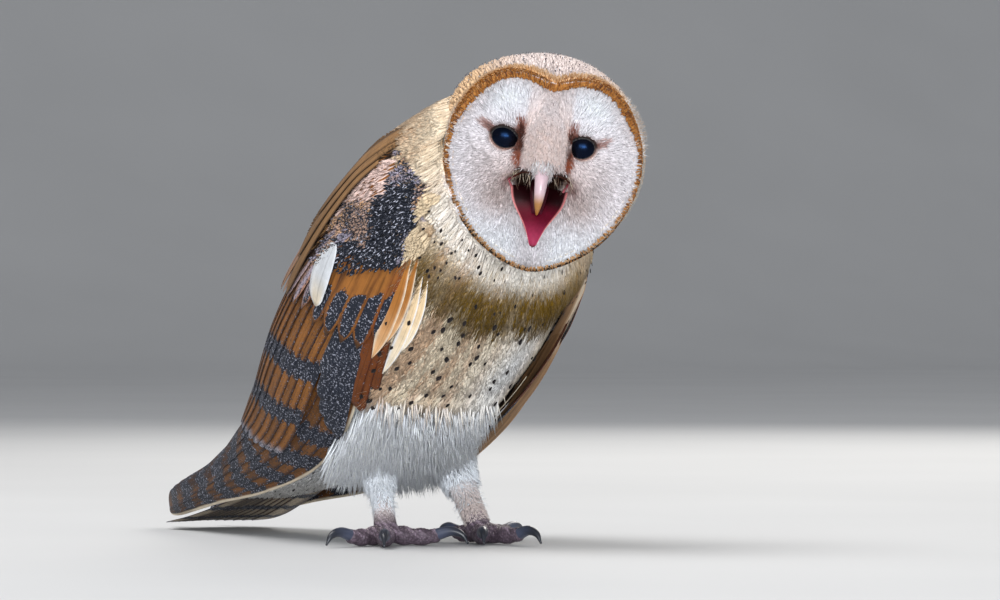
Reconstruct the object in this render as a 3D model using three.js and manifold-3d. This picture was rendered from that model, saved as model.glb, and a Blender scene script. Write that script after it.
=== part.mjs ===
// A life-size barn owl standing on level ground. It leans forward, its head is turned to its right
// and its bill is wide open.
// Millimetres, +Z up. The floor is z = 0, the owl walks towards -Y and its left side is at +X.
import * as THREE from "three";
import { mergeVertices } from "three/addons/utils/BufferGeometryUtils.js";
import Module from "manifold-3d";

const wasm = await Module();
wasm.setup();

// ---- driving dimensions ----
const GAP = 0.35; // between neighbouring pieces
const FLOOR = 0;

// The plumage hull runs from inside the head to the wing tips. Each list has one value per station.
const HULL = {
  x: [13, 5, 1, -2, -3, -4, -5, -6, -6, -6],
  y: [-67, -46, -28, -2, 30, 62, 98, 138, 178, 214],
  z: [164, 139, 121, 99, 74, 51, 33, 20, 12, 7],
  halfWidth: [36, 49, 54, 56, 55, 47, 38, 29, 21, 9],
  belly: [14, 32, 44, 47, 42, 31, 21, 11, 7, 3],
  back: [37, 50, 54, 54, 45, 33, 20, 12, 8, 4],
  wingFront: [76, 72, 62, 50, 38, 36, 48, 62, 70, 80], // degrees round from the belly line
  wingBack: [140, 150, 160, 166, 170, 172, 174, 175, 176, 176],
};
const HULL_SQUARENESS = 2.3; // 2 is an ellipse
const SHARE = { neck: 0.02, shoulder: 0.115, rump: 0.66 }; // of the way along the hull
const WING_DEPTH = 7.4; // how far the trunk lies inside the hull beneath a wing
const THIGH_DEPTH = 8; // and beneath the thighs
const RUMP_SLIM = 0.4; // how much of the belly's depth the rump draws in towards the tail
const LEAST_RADIUS = 0.8; // of any hull section

// A folded wing's layers. Each has its own length along the hull at the wing's front and back edges.
const WING = {
  from: 0.135,
  coverts: { to: [0.47, 0.4], top: 0, rows: 7 },
  secondaries: { to: [0.5, 0.7], top: 0.8, base: 3, rows: 5, first: 2 }, // their first feather
  primaries: { to: [0.94, 0.975], top: 4.2, edge: 1, rows: 7 },
  feathers: 6,
  clearance: 1.3, // above the body
  base: 6.2,
  least: 0.9, // the thinnest a layer gets, across its face
  tip: 0.34, // a layer's depth at the wing's tip, as a share of its depth at the shoulder
};
const FEATHER = { drop: 0.8, tip: 0.02 }; // each feather's step down and its tip's reach

const HEAD = {
  centre: [12, -69, 157],
  yaw: -30, // degrees: turned to the owl's right
  pitch: 8,
  roll: 8,
  rim: 27, // from the head's centre forward to the face's rim
  nape: 44,
  crown: 42.5,
  cheek: 42,
  throat: 40,
};
// The facial disc's outline: its radius every 30 degrees, from the top down one side.
const DISC_RADII = [31, 38.5, 38.5, 37.8, 37, 38.5, 41.5];
const EYE = { x: 16, z: 9.8, radius: 8.5, depth: 6.5 };
const DISC_DEPTH = 7;
const GAPE = { halfWidth: 13, tipHalf: 1.5, top: -3.5, bottom: -28, back: -6 };
// The bills and tongue run in the head's middle plane: forward is -Y.
const BILL_UPPER = {
  y: [-31, -34.5, -37.5, -39.2, -39.2, -37.2],
  z: [3.5, 1.5, -3, -8.5, -14, -18.6],
  halfWidth: [3.4, 3.5, 3, 2.4, 1.7, 0.5],
};
const BILL_LOWER = {
  y: [-22, -31, -38, -41.5],
  z: [-10, -15.5, -23.5, -31],
  halfWidth: [11.5, 10.2, 6, 1.6],
  thickness: [3, 3, 2.6, 1.2],
};
const TONGUE = { y: [-20, -28, -35.5], z: [-6.5, -11, -18.5], halfWidth: [3.4, 3.6, 2], thickness: 1.8 };

const TAIL = {
  x: -6,
  y: [88, 117, 145, 171, 196],
  z: [29, 18.5, 11, 4.6, 1.1],
  halfWidth: [13, 16, 19, 22, 23],
  feathers: 12,
  thickness: 2.6,
  arch: 1.6, // how much the middle stands above the sides
  roundTip: 7, // how much the middle feathers outreach the outer ones
};

const FEET = {
  right: {
    at: [-21.5, 0],
    ankle: [-13, 27, 50],
    hip: [-19, 8, 84],
    toes: {
      outer: [-0.97, -0.25],
      middle: [-0.5, -0.87],
      inner: [0.7, -0.71],
      hind: [0.3, 0.95],
    },
  },
  left: {
    at: [22.5, 0],
    ankle: [17, 28, 50],
    hip: [14, 8, 84],
    toes: {
      outer: [0.9, 0.44],
      middle: [0.2, -0.98],
      inner: [-0.45, -0.89],
      hind: [-0.3, 0.95],
    },
  },
};
const TOE_LENGTHS = { outer: 21, middle: 26, inner: 23, hind: 14 };
const CLAW_LENGTH = 13;
const PAD = { height: 6, radius: 7.2 };
const LEG = { cuff: 0.34, hip: 16, knee: 16.5, ankle: 14, shank: 7.6, foot: 6 }; // feathered radii
const TOE = { base: 4.7, tip: 4.1, baseHeight: 6, tipHeight: 3.9, bulge: 0.5 };

// ---- colours ----
const COLOURS = {
  buff: 0xc9a15f,
  cream: 0xe6dcc4,
  white: 0xf0ebe6,
  amber: 0xb07a35,
  slate: 0x5c5f69,
  toe: 0x6e5a5c,
  claw: 0x2b2d36,
  bill: 0xe8d9cf,
  gape: 0xb8324f,
  eye: 0x060608,
};

// ---- small tools ----
const vec = (x, y, z) => new THREE.Vector3(x, y, z);
const radians = THREE.MathUtils.degToRad;
const mix = THREE.MathUtils.lerp;
const smooth = (x, from, to) => THREE.MathUtils.smoothstep(x, from, to);
const ramp = (x, from, to) => THREE.MathUtils.clamp((x - from) / (to - from), 0, 1);

// A smooth value through evenly spaced values, t from 0 to 1.
function through(values, t) {
  const last = values.length - 1;
  const x = Math.min(Math.max(t, 0), 1) * last;
  const i = Math.min(Math.floor(x), last - 1);
  const f = x - i;
  const at = (k) => values[Math.min(Math.max(k, 0), last)];
  const [a, b, c, d] = [at(i - 1), at(i), at(i + 1), at(i + 2)];
  const curve = 2 * a - 5 * b + 4 * c - d + f * (3 * (b - c) + d - a);
  return b + 0.5 * f * (c - a + f * curve);
}

const power = (x, exponent) => Math.sign(x) * Math.abs(x) ** exponent;

// A closed body from rings of points, each ring a closed loop, with a fan over each end.
function loft(rings) {
  const n = rings[0].length;
  const points = rings.flat();
  const faces = [];
  for (let i = 0; i < rings.length - 1; i++)
    for (let j = 0; j < n; j++) {
      const [a, b] = [i * n + j, i * n + ((j + 1) % n)];
      faces.push(a, b, b + n, a, b + n, a + n);
    }
  for (const [start, ring] of [
    [0, rings[0]],
    [(rings.length - 1) * n, rings.at(-1)],
  ]) {
    const middle = ring.reduce((sum, p) => sum.add(p), vec(0, 0, 0)).divideScalar(n);
    points.push(middle);
    for (let j = 0; j < n; j++) {
      const [a, b] = [start + j, start + ((j + 1) % n)];
      faces.push(...(start ? [a, b, points.length - 1] : [b, a, points.length - 1]));
    }
  }
  return solid(points, faces);
}

// A closed slab between an outer and an inner sheet, both given as point(i, j).
function slab(rows, columns, outer, inner) {
  const points = [];
  for (const sheet of [outer, inner])
    for (let i = 0; i <= rows; i++)
      for (let j = 0; j <= columns; j++) points.push(sheet(i / rows, j / columns));
  const at = (side, i, j) => (side * (rows + 1) + i) * (columns + 1) + j;
  const faces = [];
  const quad = (a, b, c, d) => faces.push(a, b, c, a, c, d);
  for (let i = 0; i < rows; i++)
    for (let j = 0; j < columns; j++) {
      quad(at(0, i, j), at(0, i, j + 1), at(0, i + 1, j + 1), at(0, i + 1, j));
      quad(at(1, i, j), at(1, i + 1, j), at(1, i + 1, j + 1), at(1, i, j + 1));
    }
  for (let i = 0; i < rows; i++) {
    quad(at(0, i, 0), at(0, i + 1, 0), at(1, i + 1, 0), at(1, i, 0));
    quad(at(1, i, columns), at(1, i + 1, columns), at(0, i + 1, columns), at(0, i, columns));
  }
  for (let j = 0; j < columns; j++) {
    quad(at(1, 0, j), at(1, 0, j + 1), at(0, 0, j + 1), at(0, 0, j));
    quad(at(0, rows, j), at(0, rows, j + 1), at(1, rows, j + 1), at(1, rows, j));
  }
  return solid(points, faces);
}

// A manifold-3d solid from points and triangles, turned so that its faces point out.
function solid(points, faces) {
  let volume = 0;
  for (let i = 0; i < faces.length; i += 3) {
    const [a, b, c] = [points[faces[i]], points[faces[i + 1]], points[faces[i + 2]]];
    volume += a.dot(vec(0, 0, 0).crossVectors(b, c));
  }
  const turned = volume < 0 ? faces.map((_, i) => faces[i - (i % 3) + [0, 2, 1][i % 3]]) : faces;
  const vertProperties = new Float32Array(points.flatMap((p) => [p.x, p.y, p.z]));
  const triVerts = new Uint32Array(turned);
  return new wasm.Manifold(new wasm.Mesh({ numProp: 3, vertProperties, triVerts }));
}

// A manifold-3d solid from a closed three.js geometry.
function fromGeometry(geometry) {
  const bare = geometry.index ? geometry.toNonIndexed() : geometry.clone();
  bare.deleteAttribute("normal");
  bare.deleteAttribute("uv");
  const merged = mergeVertices(bare, 1e-4);
  return new wasm.Manifold(
    new wasm.Mesh({
      numProp: 3,
      vertProperties: merged.attributes.position.array,
      triVerts: new Uint32Array(merged.index.array),
    }),
  );
}

function box(low, high) {
  const size = vec(...high).sub(vec(...low));
  const middle = vec(...low).add(vec(...high)).divideScalar(2);
  const geometry = new THREE.BoxGeometry(size.x, size.y, size.z);
  return fromGeometry(geometry.translate(middle.x, middle.y, middle.z));
}

const BELOW_FLOOR = box([-400, -400, -100], [400, 400, FLOOR]);

function biggest(body) {
  return body.decompose().sort((a, b) => b.volume() - a.volume())[0];
}

// ---- the hull that the trunk and wings share ----
const hullCentre = (u) => vec(through(HULL.x, u), through(HULL.y, u), through(HULL.z, u));

function hullFrame(u) {
  const step = 0.01;
  const along = hullCentre(u + step).sub(hullCentre(u - step)).normalize();
  const up = vec(0, 0, 1).addScaledVector(along, -along.z).normalize();
  return { centre: hullCentre(u), up, side: vec(0, 0, 0).crossVectors(along, up) };
}

// The hull's point at angle degrees round from the belly line, towards +X, raised by rise.
function hullPoint(u, angle, rise) {
  const { centre, up, side } = hullFrame(u);
  const s = power(Math.sin(radians(angle)), 2 / HULL_SQUARENESS);
  const c = power(Math.cos(radians(angle)), 2 / HULL_SQUARENESS);
  const width = Math.max(through(HULL.halfWidth, u) + rise, LEAST_RADIUS);
  const depth = Math.max(through(c > 0 ? HULL.belly : HULL.back, u) + rise, LEAST_RADIUS);
  return centre.addScaledVector(side, width * s).addScaledVector(up, -depth * c);
}

// ---- neck and trunk ----
const EDGE = { front: 6, back: 7 }; // degrees over which the trunk sinks beneath a wing's edges

// How far the trunk's surface stands above the hull: it sinks beneath the wings and the thighs.
function bodyRise(u, angle, grow) {
  const round = Math.abs(angle);
  const front = through(HULL.wingFront, u);
  const back = through(HULL.wingBack, u);
  const inFront = ramp(round, front - EDGE.front, front + EDGE.front / 2);
  const underWing = inFront * (1 - ramp(round, back, back + EDGE.back));
  const besideThigh = smooth(u, 0.36, 0.44) * (1 - smooth(u, 0.52, 0.62));
  const underThigh = (1 - smooth(round, 40, 62)) * besideThigh;
  const toTail = smooth(u, 0.4, SHARE.rump) * RUMP_SLIM * through(HULL.belly, u);
  const wing = WING_DEPTH * underWing * ramp(u, 0.1, 0.155);
  return grow - Math.max(wing, THIGH_DEPTH * underThigh) - toTail;
}

const GAP_SHARE = 0.0013; // a gap's share of the hull's length

// Where a ring's corners lie, so that they follow the wings' edges.
function ringAngles(u) {
  const [front, back] = [through(HULL.wingFront, u), through(HULL.wingBack, u)];
  const sunk = front + EDGE.front / 2;
  const half = [0, front * 0.35, front * 0.7, front - EDGE.front, sunk];
  for (let j = 1; j < 7; j++) half.push(mix(sunk, back, j / 7));
  half.push(back, Math.min(back + EDGE.back, 179));
  return [...half.slice(1).reverse().map((angle) => -angle), ...half];
}

function bodyPart(from, to, steps, grow) {
  const rings = [];
  const stations = Array.from({ length: steps + 1 }, (_, i) => mix(from, to, i / steps));
  if (grow) stations.splice(0, steps + 1, from - GAP_SHARE, ...stations, to + GAP_SHARE);
  for (const u of stations) {
    const ring = [];
    for (const angle of ringAngles(u)) ring.push(hullPoint(u, angle, bodyRise(u, angle, grow)));
    rings.push(ring);
  }
  return loft(rings);
}

// ---- wings ----
const slim = (u) => mix(1, WING.tip, smooth(u, 0.5, 1)); // a wing thins towards its tip
const columnShare = (column) => (column / 2 + (column % 2) * 0.35) / WING.feathers;

// A layer's end along the hull at a column: two columns to a feather, one raised and one low.
function layerEnd(layer, column) {
  return mix(...layer.to, columnShare(column)) + (column % 2) * FEATHER.tip;
}

function wingSheet(side, layer, start, first, depth, grow) {
  const columns = WING.feathers * 2 - first;
  return (i, j) => {
    const column = first + Math.round(j * columns);
    const v = columnShare(column);
    const u = mix(start(column), layerEnd(layer, column), i);
    const angle = mix(through(HULL.wingFront, u) - grow * 2, through(HULL.wingBack, u), v);
    return hullPoint(u, side * angle, depth(u, v, angle, column));
  };
}

// One layer: start(column) is where it begins, top and base its two faces' depths at (u, v).
function wingLayer(side, layer, start, top, base, grow) {
  const first = (layer.first ?? 0) * 2;
  const outer = (u, v, angle, column) =>
    grow - top(v) * slim(u) - (column % 2) * FEATHER.drop * slim(u);
  const inner = (u, v, angle) => {
    const body = u < SHARE.rump ? bodyRise(u, angle, WING.clearance) : -Infinity;
    const lowest = Math.max(-base * slim(u), body);
    return Math.min(lowest, outer(u, v, angle, 1) - WING.least) - grow;
  };
  return slab(
    layer.rows,
    WING.feathers * 2 - first,
    wingSheet(side, layer, start, first, outer, grow),
    wingSheet(side, layer, start, first, inner, grow),
  );
}

const afterCoverts = (column) => layerEnd(WING.coverts, column) + GAP_SHARE;

function coverts(side) {
  return wingLayer(side, WING.coverts, () => WING.from, () => WING.coverts.top, WING.base, 0);
}

function secondaries(side) {
  const layer = WING.secondaries;
  return wingLayer(side, layer, afterCoverts, () => layer.top, layer.base, 0);
}

function primaries(side) {
  const layer = WING.primaries;
  const under = WING.secondaries.first / WING.feathers;
  const top = (v) => mix(layer.edge, layer.top, smooth(v, under - 0.12, under));
  return wingLayer(side, layer, afterCoverts, top, WING.base, 0);
}

// The whole wing as one piece a little too big, to cut its neighbours with.
function wingRoom(side) {
  const layer = { to: WING.primaries.to, rows: 12 };
  return wingLayer(side, layer, () => WING.from - GAP_SHARE, () => 0, WING.base, GAP * 2);
}

// ---- tail ----
function tailBody(grow) {
  const sheet = (side) => (i, j) => {
    const column = Math.round(j * TAIL.feathers * 2);
    const across = j * 2 - 1;
    const tip = column % 2 ? 0 : -3;
    const end = -TAIL.roundTip * across ** 2 + tip + grow;
    const y = mix(TAIL.y[0] - grow, TAIL.y.at(-1) + end, i);
    const t = (y - TAIL.y[0]) / (TAIL.y.at(-1) - TAIL.y[0]);
    const z = through(TAIL.z, t) + TAIL.arch * (1 - across ** 2) * (1 - t) + (column % 2) * 0.5 * side;
    const x = TAIL.x + across * (through(TAIL.halfWidth, t) + grow);
    return vec(x, y, z + side * (TAIL.thickness / 2 + grow));
  };
  return slab(3, TAIL.feathers * 2, sheet(1), sheet(-1));
}

// ---- head ----
const headTurn = new THREE.Matrix4()
  .makeRotationFromEuler(
    new THREE.Euler(radians(HEAD.pitch), radians(HEAD.roll), radians(HEAD.yaw), "ZXY"),
  )
  .setPosition(...HEAD.centre);
const inHead = (body) => body.transform(headTurn.elements);

const discRadius = (angle) => through(DISC_RADII, Math.abs(angle) / 180);
const bump = (x, z, atX, atZ, width) =>
  Math.exp(-((x - atX) ** 2 + (z - atZ) ** 2) / width ** 2);

// How far the face stands forward of the rim's plane: a bowl each side of the bill's ridge.
function faceRise(x, z) {
  const side = Math.abs(x);
  const angle = (Math.atan2(side, z) * 180) / Math.PI;
  const share = Math.min(Math.hypot(x, z) / discRadius(angle), 1);
  const wrap = -0.0044 * x * x - 0.0012 * z * z;
  const bowl = -6.5 * (1 - share ** 3) * smooth(side, 0, 12);
  const ridge = mix(11.5, 3, smooth(z, -4, 36)) * Math.exp(-((x / 6.8) ** 2)) * smooth(z, -9, -3);
  const cheek = 3.5 * bump(side, z, 15, -4, 9) + 2 * bump(side, z, 17, 24, 9);
  return wrap + bowl + ridge * (1 - share ** 6) + cheek;
}

// The head's surface: share 0 to 1 spans the face, 1 to 2 the rest, back to the nape.
function headPoint(angle, share, grow) {
  const [s, c] = [Math.sin(radians(angle)), Math.cos(radians(angle))];
  const rimRadius = discRadius(angle > 180 ? 360 - angle : angle);
  if (share <= 1) {
    const [x, z] = [s * rimRadius * share, c * rimRadius * share];
    return vec(x, -HEAD.rim - faceRise(x, z) - grow, z);
  }
  const rimY = -HEAD.rim - faceRise(s * rimRadius, c * rimRadius);
  const top = c > 0 ? HEAD.crown : HEAD.throat;
  const full = Math.hypot(s * HEAD.cheek, c * top);
  const y = mix(rimY, HEAD.nape + grow, (1 - Math.cos(Math.PI * Math.min(share - 1, 0.985))) / 2);
  const behind = Math.max(y, 0) / (HEAD.nape + grow);
  const radius =
    y < 0
      ? mix(rimRadius, full, Math.sin((Math.PI / 2) * (1 - y / rimY)))
      : full * Math.sqrt(1 - behind ** 2.2);
  return vec(s * (radius + grow), y, c * (radius + grow));
}

const FACE_SHARES = [0.18, 0.36, 0.54, 0.72, 0.88, 1];
const CRANIUM_SHARES = [1.2, 1.4, 1.6, 1.8, 2];

const headRings = (sides, shares, point) =>
  shares.map((share) => Array.from({ length: sides }, (_, j) => point((j / sides) * 360, share)));

function headBody(grow) {
  const point = (angle, share) => headPoint(angle, share, grow);
  return loft(headRings(26, [...FACE_SHARES, ...CRANIUM_SHARES], point));
}

// Everything forward of a sheet that lies inset behind the face.
function beforeFace(inset) {
  const wide = (angle, share) => {
    const radius = discRadius(angle > 180 ? 360 - angle : angle) * share * 1.6;
    return [Math.sin(radians(angle)) * radius, Math.cos(radians(angle)) * radius];
  };
  const sheet = headRings(12, [0.35, 0.7, 1], (angle, share) => {
    const [x, z] = wide(angle, share);
    return vec(x, inset - HEAD.rim - faceRise(x, z), z);
  });
  const front = headRings(12, [1], (angle, share) => {
    const [x, z] = wide(angle, share);
    return vec(x, -80, z);
  });
  return loft([...sheet, ...front]);
}

const ball = (x, y, z, radius, sides) =>
  fromGeometry(
    new THREE.SphereGeometry(radius, sides, sides / 2).rotateX(Math.PI / 2).translate(x, y, z),
  );

const eyeY = -HEAD.rim - faceRise(EYE.x, EYE.z) + EYE.depth;
const eyeball = (side, grow) => ball(side * EYE.x, eyeY, EYE.z, EYE.radius + grow, 12);

// The open mouth: a triangle with its point down, narrowing to the throat.
function gapeBody() {
  const outline = [];
  for (let j = 0; j <= 6; j++) {
    const t = j / 6;
    outline.push([mix(-GAPE.halfWidth, -GAPE.tipHalf, t ** 0.75), mix(GAPE.top, GAPE.bottom, t)]);
  }
  for (let j = 6; j >= 0; j--) outline.push([-outline[j][0], outline[j][1]]);
  const middle = mix(GAPE.top, GAPE.bottom, 0.3);
  const ring = (y, scale) => outline.map(([x, z]) => vec(x * scale, y, middle + (z - middle) * scale));
  return loft([ring(-60, 1), ring(-26, 1), ring(-15, 0.8), ring(GAPE.back, 0.4)]);
}

// A body along the head's middle plane; section(t) gives its outline as [across, towards its back].
function alongMiddle(path, steps, section) {
  const rings = [];
  for (let i = 0; i <= steps; i++) {
    const t = i / steps;
    const at = (s) => vec(0, through(path.y, s), through(path.z, s));
    const along = at(t + 0.02).sub(at(t - 0.02)).normalize();
    const normal = vec(0, -along.z, along.y);
    const ring = section(t).map(([x, n]) => at(t).addScaledVector(normal, n).setX(x));
    rings.push(ring);
  }
  return loft(rings);
}

const circle = (sides, point) =>
  Array.from({ length: sides }, (_, j) => point((j / sides) * Math.PI * 2));

function billUpper(grow) {
  return alongMiddle(BILL_UPPER, 7, (t) => {
    const width = through(BILL_UPPER.halfWidth, t) + grow;
    return circle(10, (a) => [width * Math.sin(a), width * 1.2 * Math.cos(a)]);
  });
}

function billLower(grow) {
  return alongMiddle(BILL_LOWER, 5, (t) => {
    const width = through(BILL_LOWER.halfWidth, t) + grow;
    const thick = through(BILL_LOWER.thickness, t) + grow;
    const hollow = (a) => (Math.cos(a) > 0 ? 0.35 * Math.cos(a) : 1);
    return circle(10, (a) => [width * Math.sin(a), -thick * Math.cos(a) * hollow(a)]);
  });
}

function tongueBody(grow) {
  return alongMiddle(TONGUE, 4, (t) => {
    const width = through(TONGUE.halfWidth, t) + grow;
    return circle(8, (a) => [width * Math.sin(a), (TONGUE.thickness + grow) * Math.cos(a)]);
  });
}

// ---- legs and feet ----
// A round body along a smooth line through points, with radii spread evenly along it.
function limb(points, radii, steps, sides, grow) {
  const line = new THREE.CatmullRomCurve3(points.map((p) => vec(...p)), false, "centripetal");
  const rings = [];
  for (let i = 0; i <= steps; i++) {
    const t = i / steps;
    const along = line.getTangentAt(t);
    const side = vec(0, 0, 1).cross(along);
    if (side.length() < 0.1) side.set(1, 0, 0);
    side.normalize();
    const up = vec(0, 0, 0).crossVectors(along, side);
    const radius = through(radii, t) + grow;
    const end = along.multiplyScalar(grow * (t < 0.5 ? -1 : 1) * (i === 0 || i === steps ? 1 : 0));
    const centre = line.getPointAt(t).add(end);
    rings.push(
      circle(sides, (a) => {
        const across = side.clone().multiplyScalar(radius * Math.cos(a));
        return across.addScaledVector(up, radius * Math.sin(a)).add(centre);
      }),
    );
  }
  return loft(rings);
}

// A point on the shin, as a share of the way from the ankle to the foot.
const onShin = (leg, share) => [
  mix(leg.ankle[0], leg.at[0], share),
  mix(leg.ankle[1], leg.at[1], share),
  mix(leg.ankle[2], PAD.height, share),
];

function thighBody(leg, grow) {
  const [x, y, z] = leg.hip.map((value, i) => mix(value, leg.ankle[i], 0.5));
  const points = [leg.hip, [x, y - 5, z + 2], onShin(leg, 0.1), onShin(leg, LEG.cuff)];
  return limb(points, [LEG.hip, LEG.knee, LEG.ankle, LEG.shank + 2], 6, 10, grow);
}

function tarsusBody(leg, grow) {
  const points = [onShin(leg, LEG.cuff - 0.2), onShin(leg, 0.8)];
  return limb(points, [LEG.shank + 1, LEG.shank, LEG.foot, LEG.foot], 4, 10, grow);
}

const padBody = (leg, grow) => ball(leg.at[0], leg.at[1], PAD.height, PAD.radius + grow, 10);

const reach = (leg, [x, y], distance, height) => [
  leg.at[0] + x * distance,
  leg.at[1] + y * distance,
  height,
];

function toeBody(leg, name, grow) {
  const way = leg.toes[name];
  const length = TOE_LENGTHS[name];
  const points = [
    reach(leg, way, 0, TOE.baseHeight),
    reach(leg, way, length * 0.5, mix(TOE.baseHeight, TOE.tipHeight, 0.6)),
    reach(leg, way, length, TOE.tipHeight),
  ];
  const joint = (t) => mix(TOE.base, TOE.tip, t) + TOE.bulge * Math.cos(t * Math.PI * 6);
  const radii = [0, 0.17, 0.33, 0.5, 0.67, 0.83, 1].map(joint);
  radii[radii.length - 1] = TOE.tip * 0.62;
  return limb(points, radii, 6, 8, grow);
}

function clawBody(leg, name) {
  const way = leg.toes[name];
  const length = TOE_LENGTHS[name];
  const share = CLAW_LENGTH * (name === "hind" ? 0.8 : 1);
  const points = [
    reach(leg, way, length - 2, 4.4),
    reach(leg, way, length + share * 0.35, 6),
    reach(leg, way, length + share * 0.72, 4.6),
    reach(leg, way, length + share * 0.92, 0.9),
  ];
  return limb(points, [2.4, 2.1, 1.5, 0.45], 5, 7, 0);
}

// ---- assembly ----
const owl = new THREE.Group();
owl.name = "barn_owl";
const placed = new THREE.Group();
owl.add(placed);

function add(name, body, colour, roughness = 0.8) {
  const mesh = biggest(body).getMesh();
  const geometry = new THREE.BufferGeometry();
  const position = new Float32Array(mesh.numVert * 3);
  for (let i = 0; i < mesh.numVert; i++)
    position.set(mesh.vertProperties.subarray(i * mesh.numProp, i * mesh.numProp + 3), i * 3);
  geometry.setAttribute("position", new THREE.BufferAttribute(position, 3));
  geometry.setIndex(new THREE.BufferAttribute(mesh.triVerts, 1));
  const material = new THREE.MeshStandardMaterial({ color: colour, roughness, metalness: 0 });
  const made = new THREE.Mesh(geometry, material);
  made.name = name;
  placed.add(made);
}

const minus = (body, ...others) => others.reduce((left, other) => left.subtract(other), body);
const SIDES = { right: -1, left: 1 };

// The head, its face, bills and eyes.
const headWhole = headBody(0);
const grownBills = [billUpper(GAP), billLower(GAP), tongueBody(GAP)];
const headCuts = [gapeBody(), eyeball(-1, GAP), eyeball(1, GAP), ...grownBills];
add("head", inHead(minus(headWhole, beforeFace(DISC_DEPTH), ...headCuts)), COLOURS.buff);
const face = headWhole.intersect(beforeFace(DISC_DEPTH - GAP));
add("facial_disc", inHead(minus(face, ...headCuts)), COLOURS.white);
for (const [name, side] of Object.entries(SIDES))
  add(`eye_${name}`, inHead(eyeball(side, 0)), COLOURS.eye, 0.1);
add("bill_upper", inHead(billUpper(0)), COLOURS.bill, 0.4);
add("bill_lower", inHead(minus(billLower(0), tongueBody(GAP), billUpper(GAP))), COLOURS.bill, 0.4);
add("tongue", inHead(tongueBody(0)), COLOURS.gape, 0.3);

// The neck and trunk, which the head rests on.
const headGrown = inHead(headBody(GAP));
const neckBody = (grow) => bodyPart(SHARE.neck, SHARE.shoulder, 4, grow);
const trunkBody = (grow) => bodyPart(SHARE.shoulder + GAP_SHARE, SHARE.rump, 13, grow);
const faceRoom = inHead(beforeFace(DISC_DEPTH));
add("neck", minus(neckBody(0), headGrown, faceRoom), COLOURS.buff);
add("trunk", minus(trunkBody(0), headGrown, faceRoom), COLOURS.cream);
const bodyGrown = neckBody(GAP).add(trunkBody(GAP));

// The tail, under the wings' tips.
const tail = minus(tailBody(0), bodyGrown, BELOW_FLOOR);
add("tail", tail, COLOURS.amber);

// The folded wings, each in three layers.
for (const [name, side] of Object.entries(SIDES)) {
  add(`wing_${name}_coverts`, coverts(side), COLOURS.slate);
  add(`wing_${name}_secondaries`, secondaries(side), COLOURS.amber);
  add(`wing_${name}_primaries`, minus(primaries(side), BELOW_FLOOR), COLOURS.amber);
}

// The legs: thighs beneath the belly, tarsi, feet, toes and claws.
const wingsRoom = Object.values(SIDES).map(wingRoom);
for (const [name, leg] of Object.entries(FEET)) {
  add(`thigh_${name}`, minus(thighBody(leg, 0), bodyGrown, ...wingsRoom), COLOURS.white);
  const shinCuts = [thighBody(leg, GAP), padBody(leg, GAP), bodyGrown, ...wingsRoom];
  const shin = minus(tarsusBody(leg, 0), ...shinCuts);
  const toes = Object.keys(leg.toes);
  const grownToes = toes.map((toe) => toeBody(leg, toe, GAP));
  add(`tarsus_${name}`, shin, COLOURS.white);
  add(`foot_${name}`, minus(padBody(leg, 0), BELOW_FLOOR), COLOURS.toe, 0.6);
  toes.forEach((toe, i) => {
    const others = grownToes.slice(0, i);
    const bare = minus(toeBody(leg, toe, 0), padBody(leg, GAP), ...others, BELOW_FLOOR);
    add(`toe_${name}_${toe}`, bare, COLOURS.toe, 0.6);
    add(`claw_${name}_${toe}`, minus(clawBody(leg, toe), grownToes[i]), COLOURS.claw, 0.25);
  });
}

// The origin is set under the middle of the whole.
const bounds = new THREE.Box3().setFromObject(owl);
const middle = bounds.getCenter(vec(0, 0, 0));
placed.position.set(-middle.x, -middle.y, 0);

export default owl;
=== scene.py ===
"""A life-size barn owl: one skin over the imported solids, and feathers as thin closed vanes over it.

Shapes are worked out in the owl's own frame, in millimetres: the floor is z = 0, the feet stand
beside x = 0, the owl faces -Y and its left side is at +X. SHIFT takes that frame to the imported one.
"""

from types import SimpleNamespace

import bpy
import numpy as np
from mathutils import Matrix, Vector
from mathutils.kdtree import KDTree


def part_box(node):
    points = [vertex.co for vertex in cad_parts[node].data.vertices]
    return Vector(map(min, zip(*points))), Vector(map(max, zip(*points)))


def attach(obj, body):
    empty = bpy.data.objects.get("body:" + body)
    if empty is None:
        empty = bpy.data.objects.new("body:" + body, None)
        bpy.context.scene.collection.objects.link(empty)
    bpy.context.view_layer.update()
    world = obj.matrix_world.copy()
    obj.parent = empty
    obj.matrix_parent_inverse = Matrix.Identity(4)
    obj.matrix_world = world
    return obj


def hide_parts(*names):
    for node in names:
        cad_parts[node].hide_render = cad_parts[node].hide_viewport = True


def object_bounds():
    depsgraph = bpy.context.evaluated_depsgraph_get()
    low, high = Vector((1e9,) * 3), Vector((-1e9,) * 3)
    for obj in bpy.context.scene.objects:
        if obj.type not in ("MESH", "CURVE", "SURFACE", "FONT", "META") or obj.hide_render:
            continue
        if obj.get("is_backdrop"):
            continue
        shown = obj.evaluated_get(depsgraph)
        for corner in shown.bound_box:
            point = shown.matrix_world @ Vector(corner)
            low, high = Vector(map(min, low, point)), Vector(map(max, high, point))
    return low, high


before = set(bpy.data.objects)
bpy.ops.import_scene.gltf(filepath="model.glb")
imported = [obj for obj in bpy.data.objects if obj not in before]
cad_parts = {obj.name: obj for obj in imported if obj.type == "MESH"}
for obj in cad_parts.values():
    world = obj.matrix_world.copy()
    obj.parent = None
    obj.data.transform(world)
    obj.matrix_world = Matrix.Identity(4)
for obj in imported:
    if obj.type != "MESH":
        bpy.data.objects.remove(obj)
CAD_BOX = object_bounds()
rng = np.random.default_rng(11)

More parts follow.
